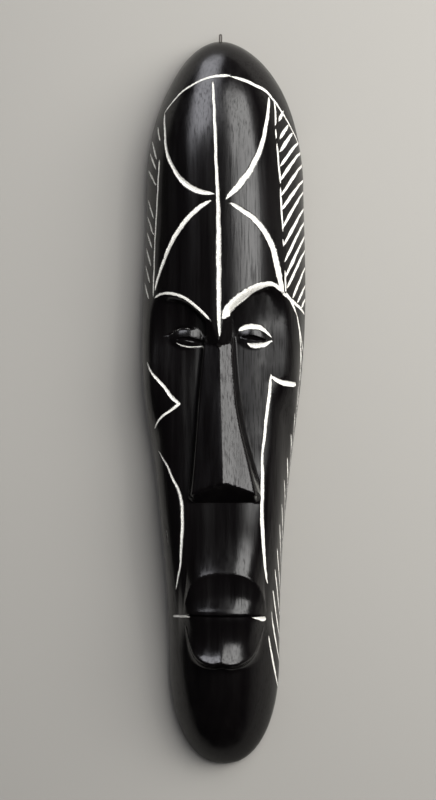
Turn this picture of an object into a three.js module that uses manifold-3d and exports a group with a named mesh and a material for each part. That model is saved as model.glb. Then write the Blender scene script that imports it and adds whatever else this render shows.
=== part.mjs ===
// A long face mask carved from one block of dark-stained wood, with a small wire eye at its crown
// to hang it by. It lies on the flat rim of its hollow back. X runs across the face, Y up it to the
// crown, Z out of it, in millimetres, with the origin on the floor under the middle of the whole piece.
import * as THREE from "three";
import Module from "manifold-3d";

const wasm = await Module();
wasm.setup();

// Driving sizes of the block.
const LENGTH = 600;
const HALF = LENGTH / 2;
const WALL = 12; // thickness of the wood at the rim
const BACK_DEPTH = 0.68; // how far the hollow goes in, as a share of the height of the block

// The plain form: half widths and heights of its cross sections by their place along the mask, and
// how square they are. 2 is an ellipse, more is squarer.
const WIDTHS = spline(
  [[-212, 45.8], [-119, 48.4], [-39, 57.4], [27, 65.6], [90, 67.4], [180, 65]], true);
const HEIGHTS = spline([[-212, 54], [-79, 57], [58, 62], [180, 64]], true);
const SQUARENESS = spline([[-300, 2], [-235, 2.1], [-185, 2.6], [-150, 3.4], [-115, 4.1], [-50, 4.1],
  [10, 3.6], [70, 2.7], [110, 2.55], [300, 2.1]]);
// Where the sections close to the crown and to the chin, and how round each end is.
const CROWN = { from: 180, side: 1, width: 65, height: 64, plan: 1.9, profile: 2.4 };
const CHIN = { from: -212, side: -1, width: 45.8, height: 54, plan: 2.2, profile: 1.75 };
// The carver's eye: the block leans a little, and the middle of the face wanders across it.
const LEAN = spline([[-300, -1.3], [-100, -0.6], [30, -1.5], [150, 0.4], [225, 0], [270, -0.4], [300, -3]]);
const MIDDLE = spline([[-300, 1.5], [-150, 5], [-60, 5.5], [50, 2], [265, -3.3]]);

// The edge of each eye hollow, from the root of the nose over the brow and down the temple:
// [across from the middle, height]. The right one sits higher.
const BROWS = {
  right: [[-3, 44], [0.5, 55], [2.8, 69], [4.6, 76], [8, 80.5], [13.6, 85.8], [20, 90.3], [30, 95.5],
    [42, 97.5], [50, 92], [57, 82], [61, 68], [62.5, 48], [62, 28], [68, 8], [80, -20]],
  left: [[-3, 43], [1.6, 53], [4.3, 60.3], [7.7, 67], [18.5, 78], [29, 85.4], [40, 88.7], [49, 87.8],
    [55, 84], [59, 78], [62, 66], [63, 48], [62, 25], [68, 5], [80, -20]],
};
const HOLLOW = {
  floor: -120, // the hollows have faded out above this height
  top: { right: 97.5, left: 88.7 },
  slope: 42, // the height over which they deepen below their top
};
// Widths of the wall cut under the brow and at the temple, and their shares of a hollow's depth.
const BROW_WALL = { width: 7, share: 0.55 };
const TEMPLE_WALL = { width: 24, share: 0.1, from: 42, to: 60 };
const SCOOP = spline([[-100, 0], [-50, 4], [0, 10], [50, 13], [100, 13]], true);
const TEMPLE = { from: 54, to: 74 }; // turn in degrees over which a hollow fades before the side

// The block left between the hollows, down to the step above the nose.
const BLOCK = { step: 48, slope: 0.5, wall: 4 };
const BLOCK_HALF = spline([[40, 10.6], [62, 11], [70, 9.5], [84, 2]]);

// The eyes: low domes, each with a slit between two lids: [outwards from the eye's middle, up from it].
const EYE = { across: 32.3, height: 53, long: 15, tall: 9.5, proud: 3.4 };
const LIDS = {
  right: [
    { width: 4.2, points: [[-12.6, 6.2], [-0.6, 8.9], [9.3, 5.9], [14, 0.9]] },
    { width: 3.6, points: [[-11, 0.6], [-1.8, 0.2], [9.4, -2.1]] },
    { width: 4, points: [[-5.8, -4.8], [2.4, -6.6], [14.2, -2.9]] },
  ],
  left: [
    { width: 3, points: [[16.3, 2], [9, 6.8], [-8, 7.3]] },
    { width: 2.6, points: [[7.2, -1.1], [-0.2, -0.5], [-15.2, -4.1]] },
    { width: 2.2, points: [[7.7, -4.3], [-2.5, -7.6], [-14.8, -6.7]] },
  ],
};

// The nose: a long wedge with a ridge, two roof facets, two steep walls and an underside cut back
// to its base.
const NOSE = {
  tip: { height: -64, out: 75 },
  base: -80,
  root: 54,
  ridgeFall: 15 / 114,
  roof: 0.33, // fall of the facets
  droop: 7, // the facets end lower at their outer edges
};
const ROOF = {
  right: spline([[-80, 27.5], [-46, 20.8], [-21, 15.6], [5, 12.2], [54, 10.2]]),
  left: spline([[-80, 26.4], [-33, 21.5], [25, 15.5], [54, 12]]),
};
const NOSE_WALL = { right: 4.2, left: 3 }; // steepness of the walls

// The mouth: a line between two scooped lips, under a muzzle that sweeps out to the upper one.
const MOUTH = { height: -170.5, gap: 1, gapDepth: 2.5, reach: 30.5, side: 38 };
const UPPER_LIP = 34;
const LOWER_LIP = 39.5;
const MUZZLE = { flare: 8, sweep: 23, fall: 34 };
const LIP_FOOT = { middle: 6, more: 20 }; // the wood under the lower lip falls back over this height
const UPPER_OUT = spline(
  [[0, 10.3], [0.05, 10.6], [0.15, 9.7], [0.28, 8.4], [0.42, 7.4], [0.6, 7.1], [0.85, 7.4], [1, 8]]);
const LOWER_OUT = spline([[0, 9.6], [0.08, 9.8], [0.2, 9.3], [0.35, 8.7], [0.5, 8.6], [0.6, 9], [0.7, 9.8],
  [0.8, 11], [0.9, 12.7], [0.97, 14], [1, 13.6]]);

// Carved lines: [turn from the front in degrees, height in mm], and the width of the cut.
const LINES = [
  { width: 3.2, points: [[-5.5, 259], [-2, 216.5], [0, 158], [1, 98], [2, 54]] },
  { width: 1.8, points: [[-51, 236.5], [-44.5, 243.5], [-33.5, 253], [-10, 263], [8.5, 264.5]] },
  { width: 2.5, points: [[12, 263.5], [31.5, 257.5], [44, 252], [56.5, 237.5], [64.5, 228], [84, 213.5]] },
  { width: 3.2, points: [[-50, 235.5], [-41.5, 209], [-31, 186], [-23, 176], [-4, 168]] },
  { width: 3.8, points: [[44, 248], [35.5, 220], [23, 187], [6, 164]] },
  { width: 3.4, points: [[-6, 162], [-24, 146], [-40, 116], [-48, 92]] },
  { width: 4.6, points: [[9, 160], [24, 149], [38, 127], [45, 100], [47, 92]] },
  { width: 1.8, points: [[49.5, 245], [45, 221], [44.5, 190], [46, 158], [49.5, 90.5]] },
  { width: 1.8, points: [[-56.5, 225.5], [-49, 214]] },
  { width: 1.7, points: [[-47, 197], [-48.5, 163], [-50, 137], [-50, 88]] },
  { width: 2.6, points: [[49.5, 88.5], [55, 83.5], [64.5, 79], [82, 73.5]] },
  { width: 2.2, points: [[50.5, 89], [56, 81], [60.5, 74]] },
  { width: 2.4, points: [[-53, 33], [-42, 15], [-31, -0.5]] },
  { width: 2.2, points: [[-31, 0], [-42.5, -10], [-51, -20]] },
  { width: 3.6, points: [[42.5, 22], [47.5, 18], [63.5, 15]] },
  { width: 2.5, points: [[42.5, 23], [39, -9], [35, -42], [33.5, -84.5], [36, -123], [40.5, -145]] },
  { width: 2.8, points: [[-47.5, -39.5], [-36, -58.5], [-28.5, -77.5], [-29, -111.5], [-37, -150.5]] },
  { width: 1.1, points: [[-42.5, -103], [-42.5, -115]] },
  { width: 1.9, points: [[-44.5, -173.5], [-31, -172], [-21, -171.5]] },
  { width: 3.6, points: [[25, -171.5], [35.5, -173.5], [39, -174.5]] },
];
const CUT_DEPTH = 0.42; // as a share of a line's width
const CUT_STEP = 18; // length of a straight stretch of a cut

// Slanting strokes in the bands down the sides: heights of each at the band's inner edge and at its
// outer end. The edges are turns in degrees.
const FOREHEAD_BAND = {
  inner: spline([[78, 70.4], [86, 57], [95, 51], [110, 49], [165, 46.3], [192, 46.3], [229, 50]]),
  outer: 87,
  crownEnds: [59.5, 62.5, 68, 80], // the crown line stops the first strokes at these turns
  width: 3,
  strokes: [
    [229, 238], [214.5, 227], [203.5, 221], [191.5, 214.5], [180.5, 207.5], [167.5, 197], [156.5, 184.5],
    [142.5, 175], [128, 161], [115, 150], [102.5, 138], [94, 126.5], [86, 112.5], [82, 97.5], [78, 86]],
};
const TEMPLE_BAND = {
  inner: spline([[86, -45.9], [199, -51]]),
  outer: -65,
  width: 2.2,
  strokes: [[199, 215], [191, 205], [179, 191], [151, 167], [139, 153], [127, 140], [113, 127], [99, 113],
    [86, 98]],
};
const JAW_BAND = {
  inner: spline([[-190, 48], [-134, 51], [-82, 57], [-27, 67.5], [45, 70], [72, 62]]),
  outer: 88,
  width: 2.5,
  fall: 30,
  lower: { from: -20, more: 0.09 }, // the strokes are steeper below this height
  heights: [72, 58, 45, 30, 12, -10, -27, -45, -64, -82, -100, -117, -134, -152, -170, -190],
};

// The wire eye: a hairpin of round wire whose legs stand in two small holes in the top of the rim.
const WIRE = { thickness: 1.2, spread: 2.8, height: 9, top: 306, root: 286, sides: 6 };
const CLEARANCE = 0.3;

const FAR = 1000; // further out than any of the wood

const rad = THREE.MathUtils.degToRad;
const deg = THREE.MathUtils.radToDeg;
const { clamp, lerp, smoothstep } = THREE.MathUtils;

// A smooth curve through [place, value] pairs, held beyond its ends; flat makes its ends level.
function spline(points, flat = false) {
  const last = points.length - 1;
  const [x, y] = [0, 1].map((column) => points.map((point) => point[column]));
  const step = (i) => x[i + 1] - x[i];
  const slope = (i) => (y[i + 1] - y[i]) / step(i);
  const rows = points.map((_, i) => {
    if (i > 0 && i < last) {
      const turn = slope(i) - slope(i - 1);
      return [step(i - 1), 2 * (step(i - 1) + step(i)), step(i), 6 * turn];
    }
    if (!flat) return [0, 1, 0, 0];
    if (i > 0) return [step(i - 1), 2 * step(i - 1), 0, -6 * slope(i - 1)];
    return [0, 2 * step(0), step(0), 6 * slope(0)];
  });
  for (let i = 1; i <= last; i++) {
    const share = rows[i][0] / rows[i - 1][1];
    rows[i][1] -= share * rows[i - 1][2];
    rows[i][3] -= share * rows[i - 1][3];
  }
  const bend = [];
  for (let i = last; i >= 0; i--) bend[i] = (rows[i][3] - rows[i][2] * (bend[i + 1] ?? 0)) / rows[i][1];
  return (place) => {
    const v = Math.min(Math.max(place, x[0]), x[last]);
    const i = Math.max(0, x.findLastIndex((start, k) => k < last && start <= v));
    const [before, after] = [v - x[i], x[i + 1] - v];
    return (bend[i] * after ** 3 + bend[i + 1] * before ** 3) / (6 * step(i))
      + (y[i] / step(i) - bend[i] * step(i) / 6) * after
      + (y[i + 1] / step(i) - bend[i + 1] * step(i) / 6) * before;
  };
}

// The smaller of two numbers, rounded over where they are within a blend of each other.
function softMin(a, b, blend) {
  const h = clamp(0.5 + 0.5 * (b - a) / blend, 0, 1);
  return lerp(b, a, h) - blend * h * (1 - h);
}
const softMax = (a, b, blend) => -softMin(-a, -b, blend);

// Size of a cross section at a height, closed round at the crown and the chin.
function sectionSize(along, size, roundness, y) {
  for (const end of [CROWN, CHIN]) {
    const out = clamp(end.side * (y - end.from) / (HALF - Math.abs(end.from)), 0, 1);
    if (out > 0) return end[size] * (1 - out ** end[roundness]) ** (1 / end[roundness]);
  }
  return along(y);
}

// Distance of the plain form from the long axis, at a turn from the front.
function plainRadius(turn, y) {
  const width = Math.max(sectionSize(WIDTHS, "width", "plan", y), 1e-3);
  const height = Math.max(sectionSize(HEIGHTS, "height", "profile", y), 1e-3);
  const square = SQUARENESS(y);
  const across = Math.abs(Math.sin(turn)) / width;
  const out = Math.abs(Math.cos(turn)) / height;
  return (across ** square + out ** square) ** (-1 / square);
}

// The brow edges as fine polylines, and the closed outlines of the hollows below them.
const browEdges = Object.fromEntries(Object.entries(BROWS).map(([side, points]) => {
  const path = new THREE.SplineCurve(points.map(([u, y]) => new THREE.Vector2(u, y)));
  return [side, path.getPoints(4 * (points.length - 1))];
}));
const hollowOutlines = Object.fromEntries(Object.entries(browEdges).map(([side, edge]) => [side, [
  ...edge, new THREE.Vector2(edge.at(-1).x, HOLLOW.floor), new THREE.Vector2(edge[0].x, HOLLOW.floor)]]));

// How far a place lies inside an eye hollow, counted from the brow edge.
function insideHollow(side, u, y) {
  const ring = hollowOutlines[side];
  let inside = false;
  ring.forEach((a, i) => {
    const b = ring[(i + 1) % ring.length];
    if (a.y > y !== b.y > y && u < (b.x - a.x) * (y - a.y) / (b.y - a.y) + a.x) inside = !inside;
  });
  if (!inside) return 0;
  let nearest = Infinity;
  const edge = browEdges[side];
  for (let i = 1; i < edge.length; i++) {
    const run = edge[i].clone().sub(edge[i - 1]);
    const along = clamp(((u - edge[i - 1].x) * run.x + (y - edge[i - 1].y) * run.y) / run.lengthSq(), 0, 1);
    const foot = edge[i - 1].clone().addScaledVector(run, along);
    nearest = Math.min(nearest, Math.hypot(u - foot.x, y - foot.y));
  }
  return nearest;
}

// Depth of the eye hollows: steep under the brow, shallower towards the temple and the cheek.
function hollowDepth(u, y, turn, inset) {
  const slope = clamp((HOLLOW.top[u < 0 ? "left" : "right"] - y) / HOLLOW.slope, 0, 1);
  const temple = smoothstep(Math.abs(u), TEMPLE_WALL.from, TEMPLE_WALL.to);
  const brow = clamp(inset / BROW_WALL.width, 0, 1) ** 1.8;
  const wall = lerp(brow, smoothstep(inset, 0, TEMPLE_WALL.width), temple);
  const share = lerp(BROW_WALL.share, TEMPLE_WALL.share, temple);
  const cut = wall * (share + (1 - share) * slope * (1.2 - 0.2 * slope ** 5));
  const spread = 1 - Math.min(Math.abs(u) / 76, 1) ** 2.4;
  const fade = 1 - smoothstep(Math.abs(turn), rad(TEMPLE.from), rad(TEMPLE.to));
  return SCOOP(y) * cut * spread * fade * smoothstep(y, HOLLOW.floor, HOLLOW.floor + 20);
}

// How far the block's two slopes and its walls lie below the plain form.
const blockDepth = (u, y, inset) =>
  BLOCK.slope * inset + BLOCK.wall * Math.max(Math.abs(u) - BLOCK_HALF(y), 0);

function eyeHeight(u, y) {
  const across = (Math.abs(u) - EYE.across) / EYE.long;
  const up = (y - EYE.height) / EYE.tall;
  return EYE.proud * clamp(1 - across ** 2 - up ** 2, 0, 1) ** 0.9;
}

// How full the lips are across: 1 in the middle, 0 at their ends.
const lipFullness = (u) => clamp(1 - Math.abs(u / MOUTH.reach) ** 2.8, 0, 1);
const upperLipTop = (u) => MOUTH.height + UPPER_LIP * Math.sqrt(lipFullness(u));
const lowerLipNotch = (u) => 1.5 * Math.exp(-(((u + 1) / 3) ** 2));
const lowerLipFoot = (u) => MOUTH.height - LOWER_LIP * Math.sqrt(lipFullness(u)) + lowerLipNotch(u);

function lipHeight(u, y, full) {
  if (y >= MOUTH.height) {
    const share = (y - MOUTH.height) / Math.max(upperLipTop(u) - MOUTH.height, 0.01);
    return lerp(MUZZLE.flare, UPPER_OUT(share), full);
  }
  const share = (MOUTH.height - y) / Math.max(MOUTH.height - lowerLipFoot(u), 0.01);
  const foot = LIP_FOOT.middle + LIP_FOOT.more * Math.abs(u / MOUTH.reach) ** 3;
  const fall = clamp(1 - Math.max(lowerLipFoot(u) - y, 0) / foot, 0, 1) ** 2;
  const mound = MUZZLE.flare * clamp(1 - (MOUTH.height - y) / MUZZLE.fall, 0, 1) ** 2;
  return lerp(mound, LOWER_OUT(share) * fall, full);
}

function mouthHeight(u, y) {
  if (y > NOSE.root || y < -245) return 0;
  const above = y - upperLipTop(u);
  const full = lipFullness(u);
  const muzzle = MUZZLE.flare * Math.exp(-above / MUZZLE.sweep) * (1 - smoothstep(y, -72, -48));
  const side = clamp(1 - Math.abs(u / MOUTH.side) ** 5, 0, 1) ** 1.25;
  const gap = clamp(1 - ((y - MOUTH.height) / MOUTH.gap) ** 2, 0, 1);
  return (above > 0 ? muzzle : lipHeight(u, y, full)) * side - MOUTH.gapDepth * gap * Math.min(full / 0.6, 1);
}

// Distance of the nose's facets from the long axis, or 0 away from the nose.
function noseRadius(turn, y) {
  if (y > NOSE.root || y <= NOSE.base) return 0;
  const middle = MIDDLE(y);
  const ridge = NOSE.tip.out - (y - NOSE.tip.height) * NOSE.ridgeFall;
  // Distance along the ray to a plane that leans to one side and passes through (across, out).
  const toPlane = (sign, steepness, across, out) => {
    const lean = Math.cos(turn) + steepness * sign * Math.sin(turn);
    return lean > 0.05 ? (out + steepness * (across + sign * middle)) / lean : FAR;
  };
  let nose = FAR;
  for (const [side, sign] of [["right", 1], ["left", -1]]) {
    const half = ROOF[side](y);
    const roof = toPlane(sign, NOSE.roof, 0, ridge);
    const wall = toPlane(sign, NOSE_WALL[side], half, ridge - NOSE.roof * half);
    nose = softMin(nose, softMin(roof, wall, 1), 0.8);
  }
  const u = nose * Math.sin(turn) - middle;
  return Math.abs(u) > ROOF.left(y) + 11 ? 0 : nose;
}

// Where the nose's facets end above its underside, and how much of its height stands below that.
const noseEnd = (u) => NOSE.tip.height - NOSE.droop * Math.min(Math.abs(u) / 22, 1.2) ** 1.3;
const noseShare = (u, y) => clamp((y - NOSE.base) / (noseEnd(u) - NOSE.base), 0, 1);

// Distance of the finished face from the long axis.
function skinRadius(turn, y) {
  const plain = plainRadius(turn, y);
  const u = plain * Math.sin(turn) - MIDDLE(y);
  const inset = insideHollow(u < 0 ? "left" : "right", Math.abs(u), y);
  const scooped = plain - hollowDepth(u, y, turn, inset) + eyeHeight(u, y) + mouthHeight(u, y);
  const block = softMax(scooped, plain - blockDepth(u, y, inset), clamp(inset, 0.02, 1));
  const face = lerp(scooped, block, smoothstep(y, BLOCK.step - 1, BLOCK.step + 0.2));
  const nose = noseRadius(turn, y);
  const across = Math.max(nose, face) * Math.sin(turn) - MIDDLE(y);
  return lerp(face, softMax(face, nose, 1), noseShare(across, y));
}

function placeOn(radius, turn, y) {
  return new THREE.Vector3(radius * Math.sin(turn) + LEAN(y), y, radius * Math.cos(turn));
}
const skinPlace = (turn, y) => placeOn(skinRadius(turn, y), turn, y);

// Direction straight out of the wood at a place on the face.
function skinNormal(turn, y) {
  const step = 1.5;
  const small = step / 60;
  const across = skinPlace(turn + small, y).sub(skinPlace(turn - small, y));
  const up = skinPlace(turn, y + step).sub(skinPlace(turn, y - step));
  return across.cross(up).normalize();
}

// The turn at which the plain form is a given distance across from the middle of the face.
function turnAcross(u, y) {
  const halvings = 24;
  let [low, high] = [-Math.PI / 2, Math.PI / 2];
  for (let i = 0; i < halvings; i++) {
    const turn = (low + high) / 2;
    if (plainRadius(turn, y) * Math.sin(turn) - MIDDLE(y) < u) low = turn;
    else high = turn;
  }
  return (low + high) / 2;
}

// Columns of the face's mesh run along the rim, the sides, the foot and roof edge of the nose's walls,
// and the ridge. Each entry is a column that the mesh keeps to, and how many steps lead to it.
const SIDE_TURN = 58;
const COLUMNS = [
  { at: () => -Math.PI / 2, steps: 0 },
  { at: () => -rad(SIDE_TURN), steps: 4 },
  { at: (y) => turnAcross(-facetFoot("left", y), y), steps: 5 },
  { at: (y) => turnAcross(-facetEdge("left", y), y), steps: 2 },
  { at: (y) => turnAcross(0, y), steps: 3 },
  { at: (y) => turnAcross(facetEdge("right", y), y), steps: 3 },
  { at: (y) => turnAcross(facetFoot("right", y), y), steps: 2 },
  { at: () => rad(SIDE_TURN), steps: 5 },
  { at: () => Math.PI / 2, steps: 4 },
];
const COLUMN_COUNT = COLUMNS.reduce((sum, column) => sum + column.steps, 0);

const narrowest = (y) => sectionSize(WIDTHS, "width", "plan", y);
const facetEdge = (side, y) => Math.min(Math.max(ROOF[side](y), 9), 0.5 * narrowest(y));
const facetFoot = (side, y) => Math.min(Math.max(ROOF[side](y), 9) + 4, 0.62 * narrowest(y));

function columnTurn(k, y) {
  let passed = 0;
  for (let i = 1; i < COLUMNS.length; i++) {
    const { at, steps } = COLUMNS[i];
    if (k <= passed + steps) return lerp(COLUMNS[i - 1].at(y), at(y), (k - passed) / steps);
    passed += steps;
  }
  return Math.PI / 2;
}

// Rows of the mesh, each the height of a line across the face by its distance from the middle.
const level = (height) => () => height;
const between = (upper, lower, steps) =>
  Array.from({ length: steps - 1 }, (_, i) => (u) => lerp(upper(u), lower(u), (i + 1) / steps));
const capRows = (end, count) =>
  Array.from({ length: count }, (_, i) => {
    const angle = rad(90) * (i + 1) / (count + 1);
    return level(end.from + end.side * (HALF - Math.abs(end.from)) * Math.sin(angle));
  });

function browHeight(u) {
  const edge = browEdges[u < 0 ? "left" : "right"];
  const across = clamp(Math.abs(u), 0.5, 60.9);
  const i = edge.findIndex((point, k) => k > 0 && point.x >= across);
  return lerp(edge[i - 1].y, edge[i].y, (across - edge[i - 1].x) / (edge[i].x - edge[i - 1].x));
}
function browFoot(u) {
  const slope = (browHeight(Math.abs(u) < 59 ? u + 1 : u) - browHeight(u - 1)) / 2;
  return browHeight(u) - Math.min(BROW_WALL.width * Math.hypot(1, slope), 11);
}
const shoulder = (u) => Math.max(Math.sqrt(lipFullness(u)), 0.35);
const lipTopRow = (offset) => (u) => MOUTH.height + UPPER_LIP * shoulder(u) + offset;
const lipFootRow = (offset) => (u) => MOUTH.height - LOWER_LIP * shoulder(u) + offset;

const ROWS = [
  ...capRows(CROWN, 8).reverse(),
  level(CROWN.from),
  ...between(level(CROWN.from), browHeight, 7),
  browHeight,
  browFoot,
  ...between(browFoot, level(18), 10),
  level(18),
  ...between(level(18), noseEnd, 6),
  noseEnd,
  level(NOSE.base),
  ...between(level(NOSE.base), lipTopRow(0), 5),
  lipTopRow(0),
  ...between(lipTopRow(0), level(MOUTH.height + MOUTH.gap), 5),
  level(MOUTH.height + MOUTH.gap),
  level(MOUTH.height),
  level(MOUTH.height - MOUTH.gap),
  ...between(level(MOUTH.height - MOUTH.gap), lipFootRow(1), 5),
  lipFootRow(1),
  lipFootRow(-2.5),
  lipFootRow(-6),
  ...capRows(CHIN, 8).slice(1),
];

// The place on the face where a row crosses a column.
function meshPlace(row, k) {
  let y = row(0);
  let turn = columnTurn(k, y);
  for (let i = 0; i < 3; i++) {
    y = row(plainRadius(turn, y) * Math.sin(turn) - MIDDLE(y));
    turn = columnTurn(k, y);
  }
  return skinPlace(turn, y);
}

function solidFrom(places, triangles) {
  const vertProperties = new Float32Array(places.flatMap((place) => place.toArray()));
  const triVerts = new Uint32Array(triangles.flat());
  return new wasm.Manifold(new wasm.Mesh({ numProp: 3, vertProperties, triVerts }));
}

// A closed solid over rows of places that all have the same length, with a tip at each end.
function closedOver(rows, first, last) {
  const places = [first, ...rows.flat(), last];
  const width = rows[0].length;
  const at = (i, k) => 1 + i * width + (k % width);
  const end = places.length - 1;
  const triangles = [];
  for (let k = 0; k < width; k++) {
    triangles.push([0, at(0, k), at(0, k + 1)]);
    triangles.push([end, at(rows.length - 1, k + 1), at(rows.length - 1, k)]);
    for (let i = 1; i < rows.length; i++) {
      triangles.push([at(i - 1, k), at(i, k), at(i, k + 1)]);
      triangles.push([at(i - 1, k), at(i, k + 1), at(i - 1, k + 1)]);
    }
  }
  return solidFrom(places, triangles);
}

function carvedBlock() {
  const rows = ROWS.map((row) => Array.from({ length: COLUMN_COUNT + 1 }, (_, k) => meshPlace(row, k)));
  const tip = (y) => new THREE.Vector3(LEAN(y), y, 0);
  return closedOver(rows, tip(HALF), tip(-HALF));
}

// The hollow behind the face, rounded like the front and open at the rim.
function backHollow() {
  const count = 18;
  const columns = 12;
  const below = -3;
  const end = HALF - WALL;
  const rows = Array.from({ length: count }, (_, i) => {
    const y = end * Math.cos(Math.PI * (i + 1) / (count + 1));
    const narrow = Math.sqrt(1 - (y / end) ** 2);
    const width = Math.min(narrowest(y) - WALL, (narrowest(0) - WALL) * narrow ** 0.8);
    const deep = BACK_DEPTH * sectionSize(HEIGHTS, "height", "profile", y) * narrow ** 0.4;
    const arch = Array.from({ length: columns + 1 }, (_, k) => {
      const turn = Math.PI * (k / columns - 0.5);
      return new THREE.Vector3(width * Math.sin(turn) + LEAN(y), y, deep * Math.cos(turn) ** 0.8);
    });
    const foot = (x) => new THREE.Vector3(x, y, below);
    return [foot(arch[0].x), ...arch, foot(arch.at(-1).x)];
  });
  const tip = (y) => new THREE.Vector3(LEAN(y), y, below);
  return closedOver(rows, tip(end), tip(-end));
}

// A V-shaped cutter along a line on the face, tapered at both ends.
function lineCutter({ points, width }) {
  const path = new THREE.SplineCurve(points.map(([turn, y]) => new THREE.Vector2(rad(turn) * 60, y)));
  const steps = Math.max(2, Math.round(path.getLength() / CUT_STEP));
  const lift = 1.4;
  const stations = path.getSpacedPoints(steps).map(({ x, y }) => ({ turn: x / 60, y }));
  const depth = CUT_DEPTH * width;
  const places = stations.flatMap(({ turn, y }, i) => {
    const ends = i === 0 || i === steps ? 0.45 : 1;
    const middle = skinPlace(turn, y);
    const out = skinNormal(turn, y);
    const next = stations[Math.min(i + 1, steps)];
    const last = stations[Math.max(i - 1, 0)];
    const along = skinPlace(next.turn, next.y).sub(skinPlace(last.turn, last.y)).normalize();
    const aside = along.cross(out).normalize().multiplyScalar(ends * width / 2 * (1 + lift / depth));
    const top = middle.clone().addScaledVector(out, lift);
    return [top.clone().add(aside), top.clone().sub(aside), middle.addScaledVector(out, -depth * ends)];
  });
  const triangles = [[0, 1, 2], [3 * steps, 3 * steps + 2, 3 * steps + 1]];
  for (let i = 0; i < steps; i++)
    for (let k = 0; k < 3; k++) {
      const [a, b] = [3 * i + k, 3 * i + ((k + 1) % 3)];
      triangles.push([a, b + 3, b], [a, a + 3, b + 3]);
    }
  return solidFrom(places, triangles);
}

// The lids and slits of both eyes, as lines like the others.
function eyeLines() {
  return [["right", 1], ["left", -1]].flatMap(([name, sign]) => LIDS[name].map(({ width, points }) => ({
    width,
    points: points.map(([out, up]) => {
      const y = EYE.height + up;
      return [deg(turnAcross(sign * (EYE.across + out), y)), y];
    }),
  })));
}

// A stroke that runs straight across the face between two [turn, height] ends.
function bandStroke([first, start], [last, end], width) {
  const across = (turn, y) => plainRadius(rad(turn), y) * Math.sin(rad(turn)) - MIDDLE(y);
  const y = (start + end) / 2;
  const turn = deg(turnAcross((across(first, start) + across(last, end)) / 2, y));
  return { width, points: [[first, start], [turn, y], [last, end]] };
}

function bandStrokes() {
  const { inner, outer, crownEnds, width, strokes } = FOREHEAD_BAND;
  const forehead = strokes.map(([start, end], i) =>
    bandStroke([inner(start), start], [crownEnds[i] ?? outer, end], width));
  const temple = TEMPLE_BAND.strokes.map(([start, end]) =>
    bandStroke([TEMPLE_BAND.inner(start), start], [TEMPLE_BAND.outer, end], TEMPLE_BAND.width));
  const jaw = JAW_BAND.heights.map((high) => {
    const low = high - JAW_BAND.fall - JAW_BAND.lower.more * Math.max(JAW_BAND.lower.from - high, 0);
    return bandStroke([JAW_BAND.inner(high), high], [JAW_BAND.outer, low], JAW_BAND.width);
  });
  return [...forehead, ...temple, ...jaw];
}

// The middle of the wire: up one leg, round the bow and down the other.
function wirePath(root) {
  const half = WIRE.spread / 2;
  const bow = WIRE.top - WIRE.thickness / 2 - half;
  const path = new THREE.CurvePath();
  const x = LEAN(HALF);
  const point = (dx, y) => new THREE.Vector3(x + dx, y, WIRE.height);
  path.add(new THREE.LineCurve3(point(-half, root), point(-half, bow)));
  const round = Array.from({ length: 7 }, (_, i) => {
    const angle = Math.PI * (1 - i / 6);
    return point(half * Math.cos(angle), bow + half * Math.sin(angle));
  });
  path.add(new THREE.CatmullRomCurve3(round));
  path.add(new THREE.LineCurve3(point(half, bow), point(half, root)));
  return path;
}

function wireGeometry() {
  const section = new THREE.Shape(new THREE.EllipseCurve(0, 0, WIRE.thickness / 2, WIRE.thickness / 2)
    .getPoints(WIRE.sides).slice(0, -1));
  return new THREE.ExtrudeGeometry(section, { steps: 18, curveSegments: 1, extrudePath: wirePath(WIRE.root) });
}

// The two holes that the legs of the wire stand in.
function wireHoles() {
  const radius = WIRE.thickness / 2 + CLEARANCE;
  return [-1, 1].map((side) => {
    const x = LEAN(HALF) + side * WIRE.spread / 2;
    const ring = (y) => Array.from({ length: WIRE.sides }, (_, k) => {
      const angle = 2 * Math.PI * k / WIRE.sides;
      return new THREE.Vector3(x + radius * Math.sin(angle), y, WIRE.height + radius * Math.cos(angle));
    });
    const rows = [WIRE.top, WIRE.root - CLEARANCE].map(ring);
    const ends = rows.map((row) => new THREE.Vector3(x, row[0].y, WIRE.height));
    return closedOver(rows, ...ends);
  });
}

function geometryOf(solid) {
  const { vertProperties, triVerts } = solid.getMesh();
  const geometry = new THREE.BufferGeometry();
  geometry.setAttribute("position", new THREE.BufferAttribute(vertProperties, 3));
  geometry.setIndex(new THREE.BufferAttribute(triVerts, 1));
  geometry.computeVertexNormals();
  return geometry;
}

function carvedMask() {
  const cutters = [...LINES, ...eyeLines(), ...bandStrokes()].map(lineCutter);
  const cuts = [backHollow(), ...wireHoles(), ...cutters];
  const solid = cuts.reduce((wood, cut) => wood.subtract(cut), carvedBlock());
  const blackWood = new THREE.MeshStandardMaterial({ color: 0x17151a, roughness: 0.4, metalness: 0 });
  const mesh = new THREE.Mesh(geometryOf(solid), blackWood);
  mesh.name = "mask";
  return mesh;
}

function wireEye() {
  const iron = new THREE.MeshStandardMaterial({ color: 0x35322f, roughness: 0.55, metalness: 1 });
  const mesh = new THREE.Mesh(wireGeometry(), iron);
  mesh.name = "hanging_wire_eye";
  return mesh;
}

const piece = new THREE.Group();
piece.add(carvedMask(), wireEye());
const middle = new THREE.Box3().setFromObject(piece).getCenter(new THREE.Vector3());
piece.position.set(-middle.x, -middle.y, 0);
const group = new THREE.Group();
group.add(piece);

export default group;
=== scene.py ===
"""A long face mask carved from one block of wood, stained black and polished, with white clay in its cuts.

It lies face up on the flat rim of its hollow back, and the camera looks down on it. Sizes here are in
millimetres in the mask's own frame: X across the face, Y up it to the crown, Z out of it, with the tip of the
chin at -HALF and that of the crown at HALF. A place on the face is given as its turn about the long axis,
from the front, and its height Y. Right and left are those of a viewer who looks at the face.
"""
import math

import bpy
import numpy as np
from mathutils import Matrix, Vector, kdtree
from mathutils.geometry import delaunay_2d_cdt


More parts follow.
